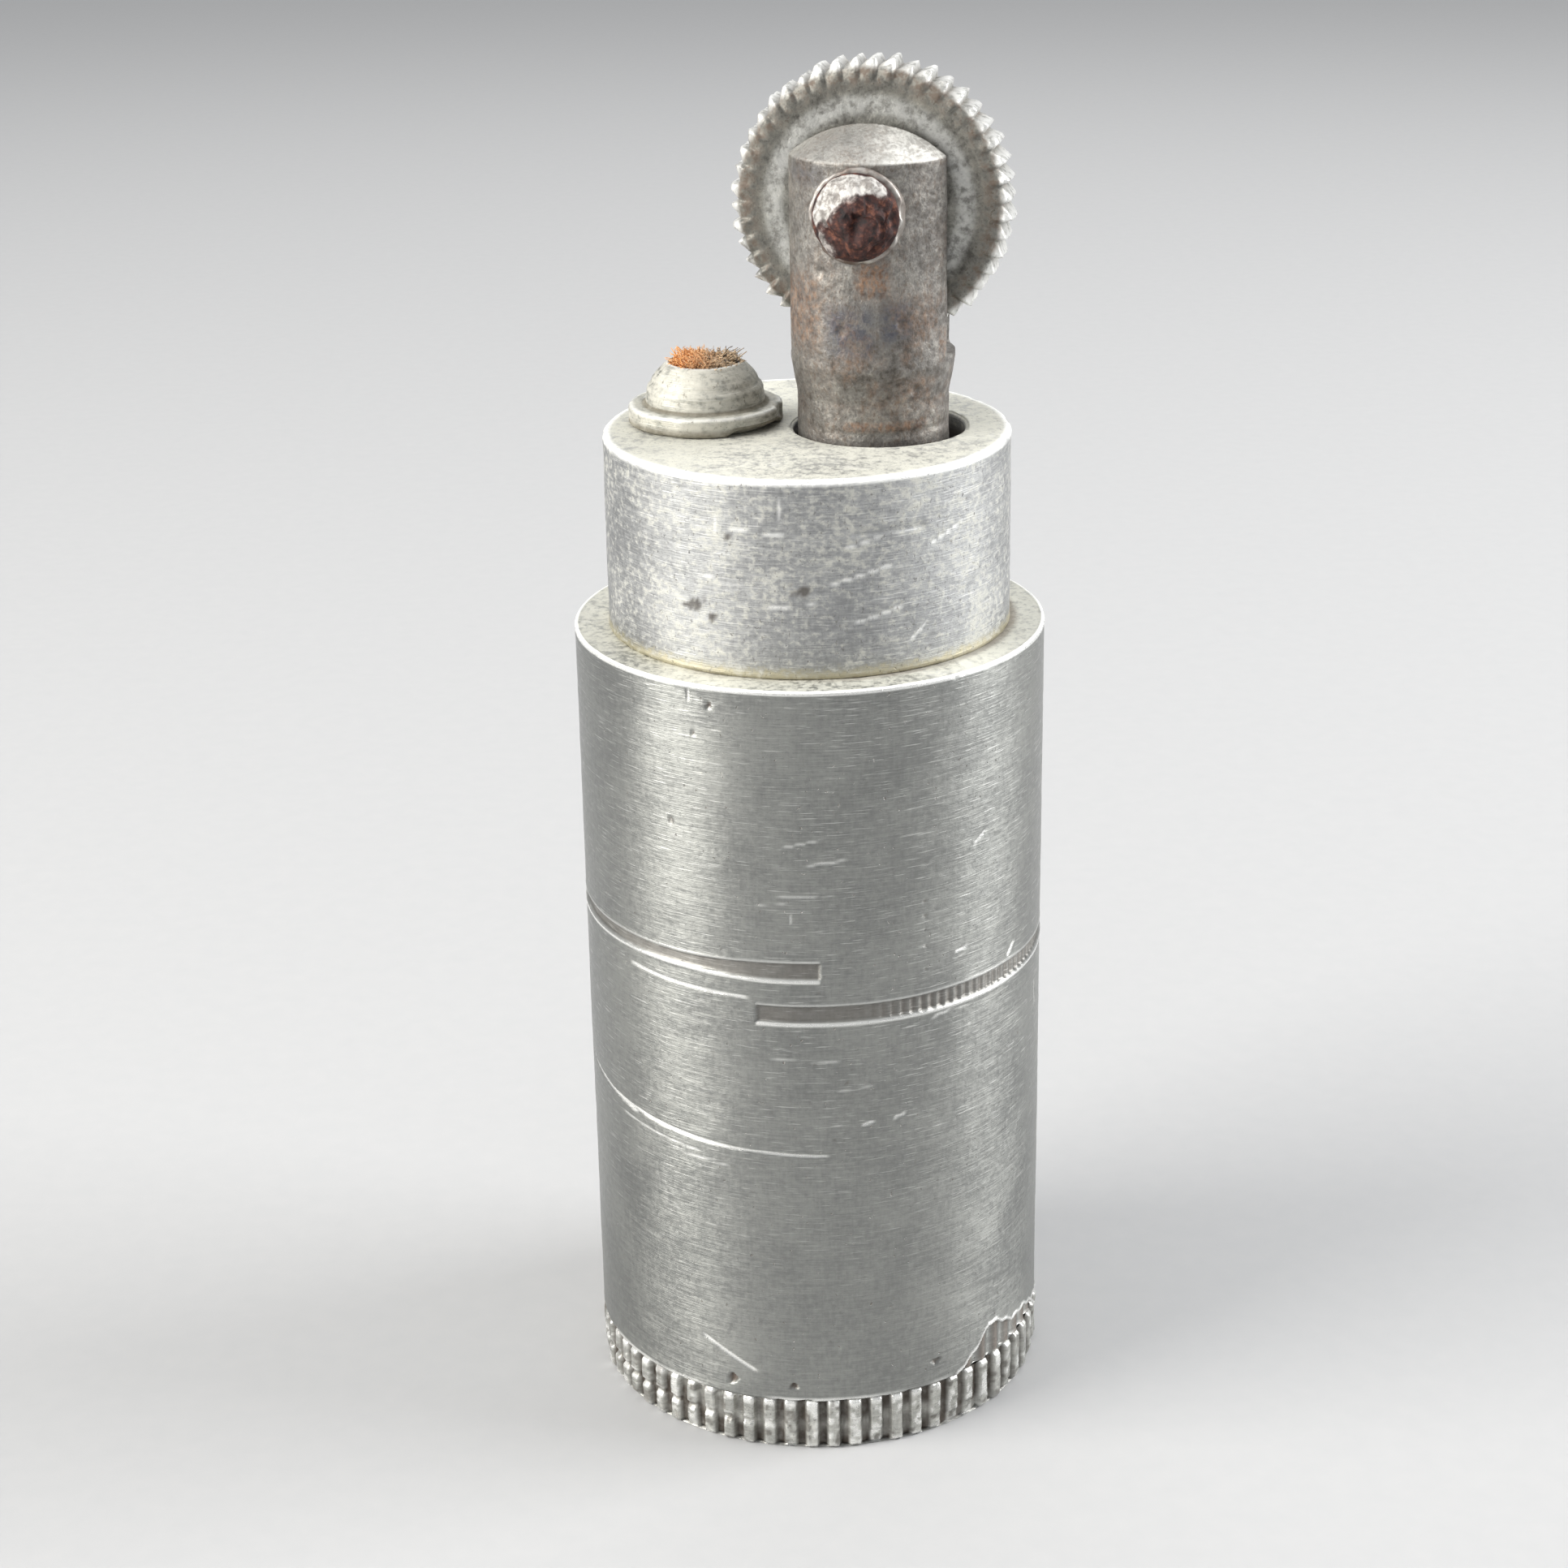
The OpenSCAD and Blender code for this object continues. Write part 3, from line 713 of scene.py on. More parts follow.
def sleeve_chip(around, z):
    """The broken lower edge at the right: 1 inside the chip, and 1 along its torn border."""
    corners_at = [35, 37, 44, 48, 60, 76, 90]
    top = np.interp(around, corners_at, [SLEEVE_FOOT - 0.5, 2.25, 3.3, 3.85, 3.35, 2.9, 2.1])
    top += 0.1 * np.sin(np.radians(around * 23)) + 0.06 * np.sin(np.radians(around * 71 + 40))
    within = (around > 35) & (around < 90)
    chip = within * (1 - step_up(z, top - 0.1, top))
    border = within * ridge(z, top + 0.05, 0.05, 0.08)
    return chip, border


def sleeve_levels(top):
    """Heights of the rows up the sleeve's outside, closest together where it is cut and worn."""
    fine = 0.055
    levels = np.concatenate([np.arange(SLEEVE_FOOT, top, 0.1), np.arange(19.4, 22.4, fine),
                             np.arange(13.4, 14.8, fine), np.arange(SLEEVE_FOOT, 5.2, 0.06)])
    levels = np.unique(np.round(levels, 3))
    return levels[np.append(np.diff(levels) > 0.02, True)]


def sleeve_pits(around, z, flat):
    """Depth of the pits: the ones above and forty small ones strewn about."""
    rng = np.random.default_rng(4)
    strewn = [(rng.uniform(-180, 180), rng.uniform(3, 33), rng.uniform(0.04, 0.08), 0.03) for _ in range(40)]
    ragged = 0.8 * lumps(5, flat, 0.17)
    pits = np.zeros_like(z)
    for angle, height, size, deep in PITS + strewn:
        away = away_from(around, z, angle, height, SLEEVE_R) / size
        pits = np.maximum(pits, deep * (1 - step_up(away + ragged, 0.4, 1.1)))
    return pits


def outer_sleeve():
    edge, bore_r = 0.13, 7.92
    thread_r, thread_top, lead = gasket_pitch_r(), 7.0, 0.25
    outside = [(SLEEVE_R, level) for level in sleeve_levels(SLEEVE_TOP - edge)]
    rounding = arc(SLEEVE_R - edge, SLEEVE_TOP - edge, edge, 0, 90, 6)
    ring = path([(SLEEVE_R - edge - 0.04, SLEEVE_TOP), (bore_r + 0.03, SLEEVE_TOP)], 0.12)
    bore = path([(bore_r, SLEEVE_TOP - 0.04), (bore_r, thread_top + 0.15)], 2.4)
    threads = path([(thread_r, thread_top), (thread_r, SLEEVE_FOOT + lead)], CAP_PITCH / 9)
    foot = [(thread_r + 0.16, SLEEVE_FOOT + 0.03), (thread_r + 0.3, SLEEVE_FOOT),
            (SLEEVE_R - 0.12, SLEEVE_FOOT)]
    side, corner, on_top, _, turns = rows_of(outside, rounding, ring, bore, threads)
    r, z, around = turned(outside + rounding + ring + bore + threads + foot, 720)
    flat = spots(r, z, around)
    outer = np.zeros_like(r)
    outer[side] = 1

    depth, lip = cutter_groove(around, z)
    chip, border = sleeve_chip(around, z)
    cuts, wear = depth, 0.9 * lip + 0.95 * border
    for scratch in SCRATCHES:
        mark = stroke(around, z, scratch, SLEEVE_R)
        width, deepest = scratch[4:]
        cuts = np.maximum(cuts, mark)
        wear = np.maximum(wear, min(0.9, 9 * width) * mark / deepest)
    pits = sleeve_pits(around, z, flat)
    rib = 0.5 + 0.5 * np.cos(np.radians(around * KNURL_COUNT))
    wave = 0.012 * lumps(1, flat, 5.0, 2) + 0.006 * lumps(2, flat, (1.2, 1.2, 0.5), 2)
    r += outer * (0.03 * lip + 0.04 * border - cuts - pits + wave - 0.012)
    r -= outer * chip * (0.08 + 0.13 * rib)

    nearly_foot = 1 - step_up(z, SLEEVE_FOOT + 0.02, SLEEVE_FOOT + 0.3)
    z += 0.13 * outer * nearly_foot * step_up(lumps(9, flat, (0.6, 0.6, 9)), 0.1, 0.9)
    rubbed = 0.9 * (1 - step_up(z, SLEEVE_FOOT + 0.06, SLEEVE_FOOT + 0.2))
    wear = np.maximum(wear, outer * rubbed * step_up(lumps(10, flat, (1.5, 1.5, 9)), -0.3, 0.5))
    r[corner] -= 0.05 * step_up(lumps(3, flat, 0.7, 2), 0.35, 0.9)[corner]
    wear[corner] = 1
    z[on_top] += (0.014 * lumps(6, flat, 0.8, 2) - 0.02)[on_top]
    fade = step_up(thread_top - z[turns], 0.0, 0.4)
    r[turns] += THREAD_DEPTH * fade * thread(z[turns], around[turns], CAP_PITCH) + 0.02

    dirt = np.zeros_like(r)
    seam = ridge(r, HEAD_R, 0.12, 0.3)[on_top]
    dirt[on_top] = 0.75 * seam * step_up(around[on_top] + 60 * lumps(8, flat[on_top], 3), -40, 60)
    dirt[side] = (0.405 * depth / GROOVE["depth"] + 0.8 * chip * (1 - rib) + 0.8 * pits / 0.12)[side]
    piece = skin("sleeve_shell", spots(r, z, around), loop=True)
    paint(piece, wear=wear, dirt=np.clip(dirt, 0, 1))
    dress(piece, "outer_sleeve")


def gasket_pitch_r():
    """Pitch radius of the sleeve's thread, which is the inner radius of the gasket below it."""
    ring = np.array([v.co for v in frame["nodes"]["cap_gasket"].data.vertices]) / MM
    return float(np.hypot(ring[:, 0], ring[:, 1]).min())


# ---------------------------------------------------------------- the head block

WELL_AT = (2.9, 0.1)          # the hole that the flint post stands in
WELL_R = 3.4


def head_holes():
    """Cutters for the well round the post, the post's shank, the ferrule's stem and the wick below it."""
    lip, over = 0.16, HEAD_TOP + 0.6
    shank_r, stem_r, wick_r = 2.5, 2.0, 1.36
    well = drill(path([(0.2, seal_low[2]), (WELL_R, seal_low[2]), (WELL_R, HEAD_TOP - 0.2)], 0.4)
                 + arc(WELL_R + lip, HEAD_TOP - 0.2, lip, 180, 100, 6)
                 + [(WELL_R + lip + 0.01, over), (0.2, over)], WELL_AT, 160, 0.008, 25)
    stem = drill([(0.2, ferrule_low[2]), (stem_r, ferrule_low[2]), (stem_r, HEAD_TOP - 0.08),
                  (stem_r + 0.1, over), (0.2, over)], FERRULE_AT)
    return [well, rod(shank_r, HEAD_FOOT - 1, seal_low[2] + 1, POST_AT), stem,
            rod(wick_r, HEAD_FOOT - 1, ferrule_low[2] + 1, FERRULE_AT)]


def head_block():
    chamfer, plug_r = 0.15, 7.88
    hidden = path([(0.5, HEAD_FOOT), (plug_r - 0.2, HEAD_FOOT), (plug_r, HEAD_FOOT + 0.2),
                   (plug_r, SLEEVE_TOP - 0.02)], 1.0)
    side = path([(HEAD_R, SLEEVE_TOP + 0.02), (HEAD_R, HEAD_TOP - chamfer)], 0.13)
    lip = path([(HEAD_R - 0.03, HEAD_TOP - chamfer + 0.03), (HEAD_R - chamfer, HEAD_TOP)], 0.05)
    top = path([(HEAD_R - chamfer - 0.05, HEAD_TOP), (0.15, HEAD_TOP)], 0.16)
    r, z, around = turned(hidden + side + lip + top, 480)
    flat = spots(r, z, around)
    seen = step_up(z, SLEEVE_TOP, SLEEVE_TOP + 0.1)
    flank = seen * (1 - step_up(z, HEAD_TOP - 0.2, HEAD_TOP - 0.05))
    r += flank * (0.012 * lumps(21, flat, 2.5, 3) + 0.012 * lumps(22, flat, (0.7, 0.7, 0.3), 2) - 0.02)
    edge = ridge(z, HEAD_TOP - 0.08, 0.08, 0.05) * step_up(r, HEAD_R - 0.4, HEAD_R - 0.2)
    r -= 0.07 * edge * step_up(lumps(23, flat, 0.9, 2), 0.25, 0.9)
    r -= 0.1 * flank * ridge(z, 39.1, 0.05, 0.1) * ridge(around, 22, 9, 3)
    rim = ridge(r, HEAD_R - 0.09, 0.07, 0.05) * step_up(z, HEAD_TOP - 0.2, HEAD_TOP - 0.1)
    # Rubbed metal and painted highlight: the nicked top edge and the chamfer's rim are painted pale all round, as
    # a bright edge line.
    wear, dirt = 0.9 * edge + 0.9 * rim, np.zeros_like(r)
    for scratch in HEAD_SCRATCHES:
        mark = stroke(around, z, scratch, HEAD_R)
        r -= flank * mark
        wear = np.maximum(wear, 0.8 * flank * mark / scratch[5])
    ragged = 0.6 * lumps(26, flat, 0.25, 2)
    for angle, height, size in HEAD_STAINS:
        away = away_from(around, 1.6 * z, angle, 1.6 * height, HEAD_R) / size
        dirt = np.maximum(dirt, flank * (1 - step_up(away + ragged, 0.4, 1.0)))
    crown = step_up(z, HEAD_TOP - 0.01, HEAD_TOP)
    z -= crown * (0.015 + 0.012 * lumps(24, flat, 1.1, 3))
    piece = skin("head_block_turned", spots(r, z, around), loop=False)
    paint(piece, wear=np.clip(wear, 0, 1), dirt=dirt)
    carve(piece, *head_holes())
    dress(piece, "head_block")


# ---------------------------------------------------------------- the filler cap

def knurl(around, z, rng):
    """Depth below the ribs' tops at each place of the rim."""
    place = around / 360 * KNURL_COUNT
    rib = np.floor(place).astype(int) % KNURL_COUNT
    part = place - np.floor(place)
    valley = 1 - ridge(part, 0.5, 0.19, 0.2)
    deep = rng.uniform(0.22, 0.32, KNURL_COUNT)[rib]
    sunk = rng.uniform(-0.01, 0.06, KNURL_COUNT)[rib]
    bruise = np.where(rng.uniform(0, 1, KNURL_COUNT) < 0.6, rng.uniform(0.04, 0.2, KNURL_COUNT), 0)[rib]
    bruise_top = rng.uniform(0.3, 0.9, KNURL_COUNT)[rib]
    low_dent = bruise * (1 - step_up(z, bruise_top - 0.25, bruise_top))
    return deep * valley + (sunk + low_dent) * (1 - valley), valley


def cap_outline():
    """The cap's outline in parts: underside, rim, gasket seat, threaded spigot and hollow."""
    rim_top, gasket_foot = SLEEVE_FOOT, gasket_low[2]
    thread_r, seat_r, hollow_r, floor_z = 8.3, 9.0, 6.6, 1.2
    under = path([(0.3, 0.0), (RIM_R - 0.6, 0.0), (RIM_R - 0.22, 0.0)], 0.45)
    rim = path([(RIM_R - 0.14, 0.02), (RIM_R - 0.02, 0.14), (RIM_R, 0.25), (RIM_R, rim_top - 0.16),
                (RIM_R - 0.1, rim_top - 0.03)], 0.08)
    seat = [(RIM_R - 0.3, rim_top), (seat_r + 0.02, rim_top), (seat_r, rim_top - 0.03), (seat_r, gasket_foot),
            (thread_r - 0.02, gasket_foot), (thread_r - 0.17, rim_top)]
    spigot = path([(thread_r, rim_top + 0.1), (thread_r, CAP_TOP - 0.25)], CAP_PITCH / 9)
    inside = path([(thread_r - 0.25, CAP_TOP), (hollow_r + 0.15, CAP_TOP), (hollow_r, CAP_TOP - 0.15),
                   (hollow_r, floor_z + 0.3), (hollow_r - 0.3, floor_z), (0.3, floor_z)], 0.8)
    return under, rim, seat, spigot, inside


def filler_cap():
    rim_top = SLEEVE_FOOT
    parts = cap_outline()
    below, rim, _, turns, _ = rows_of(*parts)
    r, z, around = turned(sum(parts, []), KNURL_COUNT * 14)
    flat = spots(r, z, around)
    depth, valley = knurl(around, z, np.random.default_rng(31))
    on_rim = np.zeros_like(r)
    on_rim[rim] = 1
    ribs = on_rim * (1 - valley)
    tier = ridge(around, -75, 42, 30) + 0.55 * ridge(around, 150, 40, 30)
    waist = tier * ridge(z, 1.12, 0.05, 0.14)
    r -= on_rim * (depth + 0.13 * waist * (1 - valley) + 0.035 + 0.035 * lumps(32, flat, 0.45, 3))
    fade = step_up(z[turns], rim_top + 0.1, rim_top + 0.4)
    fade *= 1 - step_up(z[turns], CAP_TOP - 0.5, CAP_TOP - 0.25)
    r[turns] += THREAD_DEPTH * fade * thread(z[turns], around[turns], CAP_PITCH) - 0.02
    z[below] += 0.01 * (1 - np.cos(r[below] * 9)) * step_up(r[below], 0.5, 1.5)

    flecks = lumps(35, flat, 0.33, 2)
    grime = step_up(lumps(33, flat, (4, 4, 1.2), 2), -1.2, -0.2)
    dirt = on_rim * np.clip(valley * 1.1 + 0.5 * waist, 0, 1) * grime
    dirt = np.maximum(dirt, 0.7 * on_rim * step_up(-flecks, 0.2, 0.6))
    ends = step_up(z, rim_top - 0.42, rim_top - 0.22) + 0.8 * (1 - step_up(z, 0.12, 0.4))
    beside = ridge(z, 0.93, 0.04, 0.05) + ridge(z, 1.31, 0.04, 0.05)
    wear = ribs * np.clip(ends + tier * beside, 0, 1) * step_up(lumps(34, flat, (1.4, 1.4, 1.0)), -0.7, 0.3)
    wear = np.maximum(wear, 0.8 * ribs * step_up(flecks, 0.25, 0.6))
    piece = skin("knurled_cap", spots(r, z, around), loop=False)
    paint(piece, wear=np.clip(wear, 0, 1), dirt=np.clip(dirt, 0, 1))
    dress(piece, "filler_cap")


# ---------------------------------------------------------------- wick and ferrule

def ferrule_outline(base, dome_r, dome_h):
    """From the stem's foot up round the flange and the dome, and down the bore."""
    dome_peak, lip = 2.05, 0.16
    stem_r, bore_r, foot = 1.97, 1.39, ferrule_low[2]
    dome = [(dome_r * math.sqrt(1 - (h / dome_peak) ** 2), base + h)
            for h in np.linspace(0.06, dome_h - 0.06, 22)]
    tip_r = dome[-1][0]
    return (path([(stem_r, foot + 0.05), (stem_r, HEAD_TOP - 0.05)], 1.2)
            + path([(stem_r + 0.1, HEAD_TOP + 0.005), (FLANGE_R - 0.12, HEAD_TOP + 0.005)], 0.12)
            + arc(FLANGE_R - lip, HEAD_TOP + 0.17, lip, -80, 0, 6)
            + path([(FLANGE_R, HEAD_TOP + 0.25), (FLANGE_R, base - 0.2)], 0.08)
            + arc(FLANGE_R - lip, base - 0.18, lip, 0, 85, 6)
            + path([(FLANGE_R - 0.25, base - 0.01), (dome_r + 0.12, base - 0.03)], 0.1)
            + dome
            + [(tip_r - 0.08, FERRULE_TOP - 0.005), (tip_r - 0.16, FERRULE_TOP),
               (bore_r + 0.05, FERRULE_TOP - 0.02)]
            + path([(bore_r, FERRULE_TOP - 0.08), (bore_r, foot + 0.05)], 0.7)
            + [(bore_r + 0.05, foot), (stem_r - 0.05, foot)])


def wick_ferrule():
    dome_r, dome_h = 2.42, 1.62
    base = FERRULE_TOP - dome_h
    r, z, around = turned(ferrule_outline(base, dome_r, dome_h), 288)
    flat = spots(r, z, around)
    seen = step_up(z, HEAD_TOP + 0.05, HEAD_TOP + 0.2) * step_up(r, 1.5, 1.7)
    flange = step_up(r, dome_r + 0.2, FLANGE_R - 0.15) * (1 - step_up(z, base + 0.05, base + 0.2))
    r += seen * (0.022 * lumps(41, flat, 0.8, 3) - 0.025)
    notch = ridge(around, 78, 5, 5) * step_up(z, HEAD_TOP + 0.1, HEAD_TOP + 0.35)
    r -= flange * (0.14 * notch + 0.08 * ridge(around, 118, 6, 8) + 0.06 * ridge(around, -30, 5, 8))
    belly = seen * (1 - step_up(r, dome_r + 0.05, dome_r + 0.2))
    r += belly * (0.035 * ridge(z, base + 0.62, 0.05, 0.12) - 0.03 * ridge(z, base + 0.85, 0.04, 0.12))
    under = flange * (1 - step_up(z, HEAD_TOP + 0.15, HEAD_TOP + 0.4))
    z += 0.2 * under * ridge(around, 48, 22, 12) * step_up(r, 2.4, 2.8)
    # Rubbed metal and painted highlight: the flange's top rim and the dome's top edge are painted pale all round.
    wear = flange * step_up(z, base - 0.16, base - 0.04) * step_up(r, FLANGE_R - 0.3, FLANGE_R - 0.1)
    wear = 0.55 * wear + 0.5 * step_up(z, FERRULE_TOP - 0.06, FERRULE_TOP - 0.02)
    # Painted shade: the stain mask darkens the crease round the dome's foot and, more strongly, the underside of
    # the flange.
    dirt = seen * ridge(z, base, 0.03, 0.12) * ridge(r, dome_r, 0.02, 0.2)
    dirt = np.maximum(dirt, 0.8 * under)
    piece = skin("ferrule_turned", spots(r, z, around, FERRULE_AT), loop=True)
    paint(piece, wear=np.clip(wear, 0, 1), dirt=np.clip(dirt, 0, 1))
    dress(piece, "wick_ferrule")


def strand(rng, radius, crown):
    """One loose cotton strand: it starts somewhere on the wick's end, rises, leans out and curls."""
    steps, up = 8, np.array([0, 0, 1])
    t = np.linspace(0, 1, steps)[:, None]
    share = math.sqrt(rng.uniform(0, 1))
    turn = rng.uniform(0, 2 * math.pi)
    out = np.array([math.cos(turn), math.sin(turn), 0])
    aside = np.array([-math.sin(turn), math.cos(turn), 0])
    start = np.array([*FERRULE_AT[:2], crown + 0.05]) + radius * 0.92 * share * out
    clump = 0.15 * math.sin(3 * turn + 1) * share
    rise = rng.uniform(0.25, 0.75) * (1.1 - 0.4 * share) + clump
    spread = rng.uniform(0.0, 0.45) * share
    lean = rng.uniform(0, 2 * math.pi)
    curl = rng.uniform(0.04, 0.2) * np.array([math.cos(lean), math.sin(lean), rng.uniform(-0.6, 0.6)])
    hook = rng.uniform(0, 0.5) * t ** 3
    waves = np.sin(t * rng.uniform(4, 8)) * curl
    kinks = np.cumsum(rng.normal(0, 0.02, (steps, 3)), axis=0) * t
    sideways = 0.3 * hook * aside * rng.uniform(-1, 1)
    route = start + (t - hook) * rise * up + t ** 2 * spread * out + waves + kinks + sideways
    return tube(route, rng.uniform(0.014, 0.034) * (1 - 0.4 * t[:, 0] ** 2), 4)


def wick():
    """A twisted cotton core with a burst of loose, partly burnt strands at its end."""
    radius = wick_high[0] - FERRULE_AT[0]
    crown, count = FERRULE_TOP - 0.25, 1100
    outline = path([(0.1, wick_low[2]), (radius - 0.2, wick_low[2]), (radius, wick_low[2] + 0.3),
                    (radius, crown), (radius - 0.25, crown + 0.3), (0.1, crown + 0.4)], 0.25)
    r, z, around = turned(outline, 96)
    twist = np.abs(np.sin(np.radians(around * 4 + z * 52)))
    flat = spots(r, z, around)
    r -= step_up(r, 0.3, radius) * (0.13 - 0.1 * twist + 0.03 * lumps(51, flat, 0.4, 2))
    dress(skin("wick_core", spots(r, z, around, FERRULE_AT), loop=False), "wick")
    rng = np.random.default_rng(52)
    tuft = bundle("wick_tuft", [strand(rng, radius, crown) for _ in range(count)])
    tuft.data.materials.append(MATERIALS["wick_cotton"])
    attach(tuft, BODIES["wick"])


# ---------------------------------------------------------------- flint post, wheel and axle

def block(low, high, lip):
    """A closed box along the axle's frame, from corner to corner, with its long edges eased by lip."""
    x0, y0, z0 = low
    x1, y1, z1 = high
    outline = [(y0, z0 + lip), (y0 + lip, z0), (y1, z0), (y1, z1), (y0 + lip, z1), (y0, z1 - lip)]
    points = np.array([(x, y, z) for x in (x0, x1) for y, z in outline])
    count = len(outline)
    faces = [[k, (k + 1) % count, (k + 1) % count + count, k + count] for k in range(count)]
    faces += [list(range(count))[::-1], list(range(count, 2 * count))]
    return make_piece("cutter", on_axle(points), faces)


def post_outline(neck_r, edge_z):
    """Shank, neck, flare to the full radius, side and domed end."""
    shank_r, flare_low, flare_high, step = 2.45, 42.6, 44.0, 0.11
    dome = POST_TOP - edge_z
    ball = (POST_R ** 2 + dome ** 2) / (2 * dome)
    brim = 90 - math.degrees(math.asin(POST_R / ball))
    return (path([(0.3, post_low[2]), (shank_r - 0.15, post_low[2]), (shank_r, post_low[2] + 0.15),
                  (shank_r, seal_high[2]), (neck_r, seal_high[2]), (neck_r, HEAD_TOP - 0.8)], 0.9)
            + path([(neck_r, HEAD_TOP - 0.7), (neck_r, flare_low)], step)
            + path([(neck_r, flare_low + 0.05), (POST_R, flare_high)], step)
            + path([(POST_R, flare_high + 0.1), (POST_R, edge_z - 0.05)], step)
            + arc(0, POST_TOP - ball, ball, brim + 0.6, brim + 1.4, 2)
            + arc(0, POST_TOP - ball, ball, brim + 3, 89, 30))


def post_stains(around, z, flat, seen):
    """Where rust and where soot lie on the post."""
    blotch = step_up(lumps(64, flat, 0.9, 3), -0.5, 0.5)
    run = ridge(around, -2, 7, 9) * ridge(z, AXLE_AT[2] - 2.4, 0.35, 0.7)
    ember = ridge(around, -62, 14, 18) * ridge(z, 46.2, 0.7, 1.4)
    line = ridge(z, HEAD_TOP + 0.62, 0.1, 0.16) * ridge(around, 8, 24, 16)
    patch = ridge(z, 44.6, 1.2, 2.2) * ridge(around, 20, 30, 40)
    rust = np.maximum.reduce([0.9 * run, 0.6 * ember, 0.8 * line, 0.45 * patch * blotch,
                              0.12 * blotch * seen ** 2])
    soot = np.maximum.reduce([ridge(around, -18, 10, 14) * ridge(z, 45.6, 0.5, 0.9),
                              ridge(around, 14, 6, 9) * ridge(z, 45.9, 0.4, 0.7),
                              0.5 * ridge(around, -55, 12, 14) * ridge(z, 51.4, 0.1, 0.5)])
    return rust, soot


def post_holes():
    """Cutters for the wheel's slot, the axle's hole, the flint's bore and the flint tube's socket."""
    slot_floor, slot_front, slot_rear = 44.2, 1.0, 1.7
    axle_r, bore_r, bore_top = 0.9, 1.25, 44.68
    reach, below = POST_R + 1, post_low[2] - 1
    slot = block((-reach, slot_floor - AXLE_AT[2], -slot_rear),
                 (reach, POST_TOP - AXLE_AT[2] + 1, slot_front), 0.12)
    ring, length, turn = turned([(0.2, -reach), (axle_r, -reach), (axle_r, reach), (0.2, reach)], 64)
    hole = skin("cutter", on_axle(spots(ring, length, turn)), loop=False)
    return [slot, hole, rod(bore_r, below, bore_top, POST_AT),
            rod(tube_high[0] - POST_AT[0], below, tube_high[2], POST_AT)]


def flint_post():
    neck_r, edge_z = 3.0, POST_TOP - 1.3
    dents = [(-24, 45.6), (18, 45.9), (-40, 47.8), (30, 43.2), (150, 47.0), (205, 45.2)]
    r, z, around = turned(post_outline(neck_r, edge_z), 300)
    flat = spots(r, z, around)
    seen = step_up(z, HEAD_TOP - 1.0, HEAD_TOP)
    rough = 0.012 * lumps(61, flat, 1.3, 2) + 0.012 * lumps(62, flat, 0.3, 2)
    r += seen * (rough - 0.02) * step_up(r, 0.5, 2.5)
    bite = ridge(z, 45.9, 0.3, 0.35) * ridge(around, 80, 7, 6) * seen
    r -= 0.28 * bite
    r -= 0.06 * seen * ridge(z, HEAD_TOP + 0.35, 0.05, 0.12) * step_up(lumps(63, flat, 1.5), -0.4, 0.4)
    for angle, height in dents:
        r -= 0.09 * (1 - step_up(away_from(around, z, angle, height, POST_R), 0.1, 0.28))
    piece = skin("post_turned", spots(r, z, around, POST_AT), loop=False)
    rust, soot = post_stains(around, z, flat, seen)
    # Rubbed metal and painted highlight: the dome is painted pale, about a third as strongly on the left as on the
    # right, where the light falls.
    rubbed = step_up(z, edge_z - 0.03, edge_z + 0.02) * (0.35 + 0.65 * step_up(flat[..., 0], -1.2, 1.2))
    paint(piece, dirt=np.clip(np.maximum(rust, bite), 0, 1), soot=soot, wear=rubbed)
    carve(piece, *post_holes())
    dress(piece, "flint_post")


def saw_teeth(around, rng):
    """How far the rim stands out at each angle, from 0 in a tooth's root to 1 at its tip."""
    place = (around % 360) / 360 * TOOTH_COUNT
    tooth = np.floor(place).astype(int) % TOOTH_COUNT
    part = place - np.floor(place)
    tall = rng.uniform(0.65, 1.0, TOOTH_COUNT)[tooth]
    blunt = rng.uniform(0.04, 0.26, TOOTH_COUNT)[tooth]
    rise = np.clip(part / 0.2, 0, 1)
    fall = np.clip((1 - part) / (0.8 - blunt), 0, 1)
    return tall * np.minimum(rise, fall)


def wheel_outline(half, radius, bevel):
    """A closed outline: a raised hub, a dished face and a bevelled rim on both sides of the bore."""
    bore, sunk = 0.97, 0.14
    face = path([(bore + 0.08, half), (2.0, half), (2.15, half - 0.06), (3.3, half - sunk),
                 (4.2, half - sunk), (4.75, half - 0.03), (radius - bevel - 0.08, half)], 0.13)
    slope = path([(radius - bevel, half - 0.02), (radius, half - bevel)], 0.11)
    rim = path([(radius, half - bevel - 0.1), (radius, bevel + 0.1 - half)], 0.17)
    front = slope[::-1] + face[::-1]
    back = [(r, -z) for r, z in front[::-1]]
    return back + rim[::-1] + front + [(bore, half - 0.08), (bore, 0), (bore, 0.08 - half)]


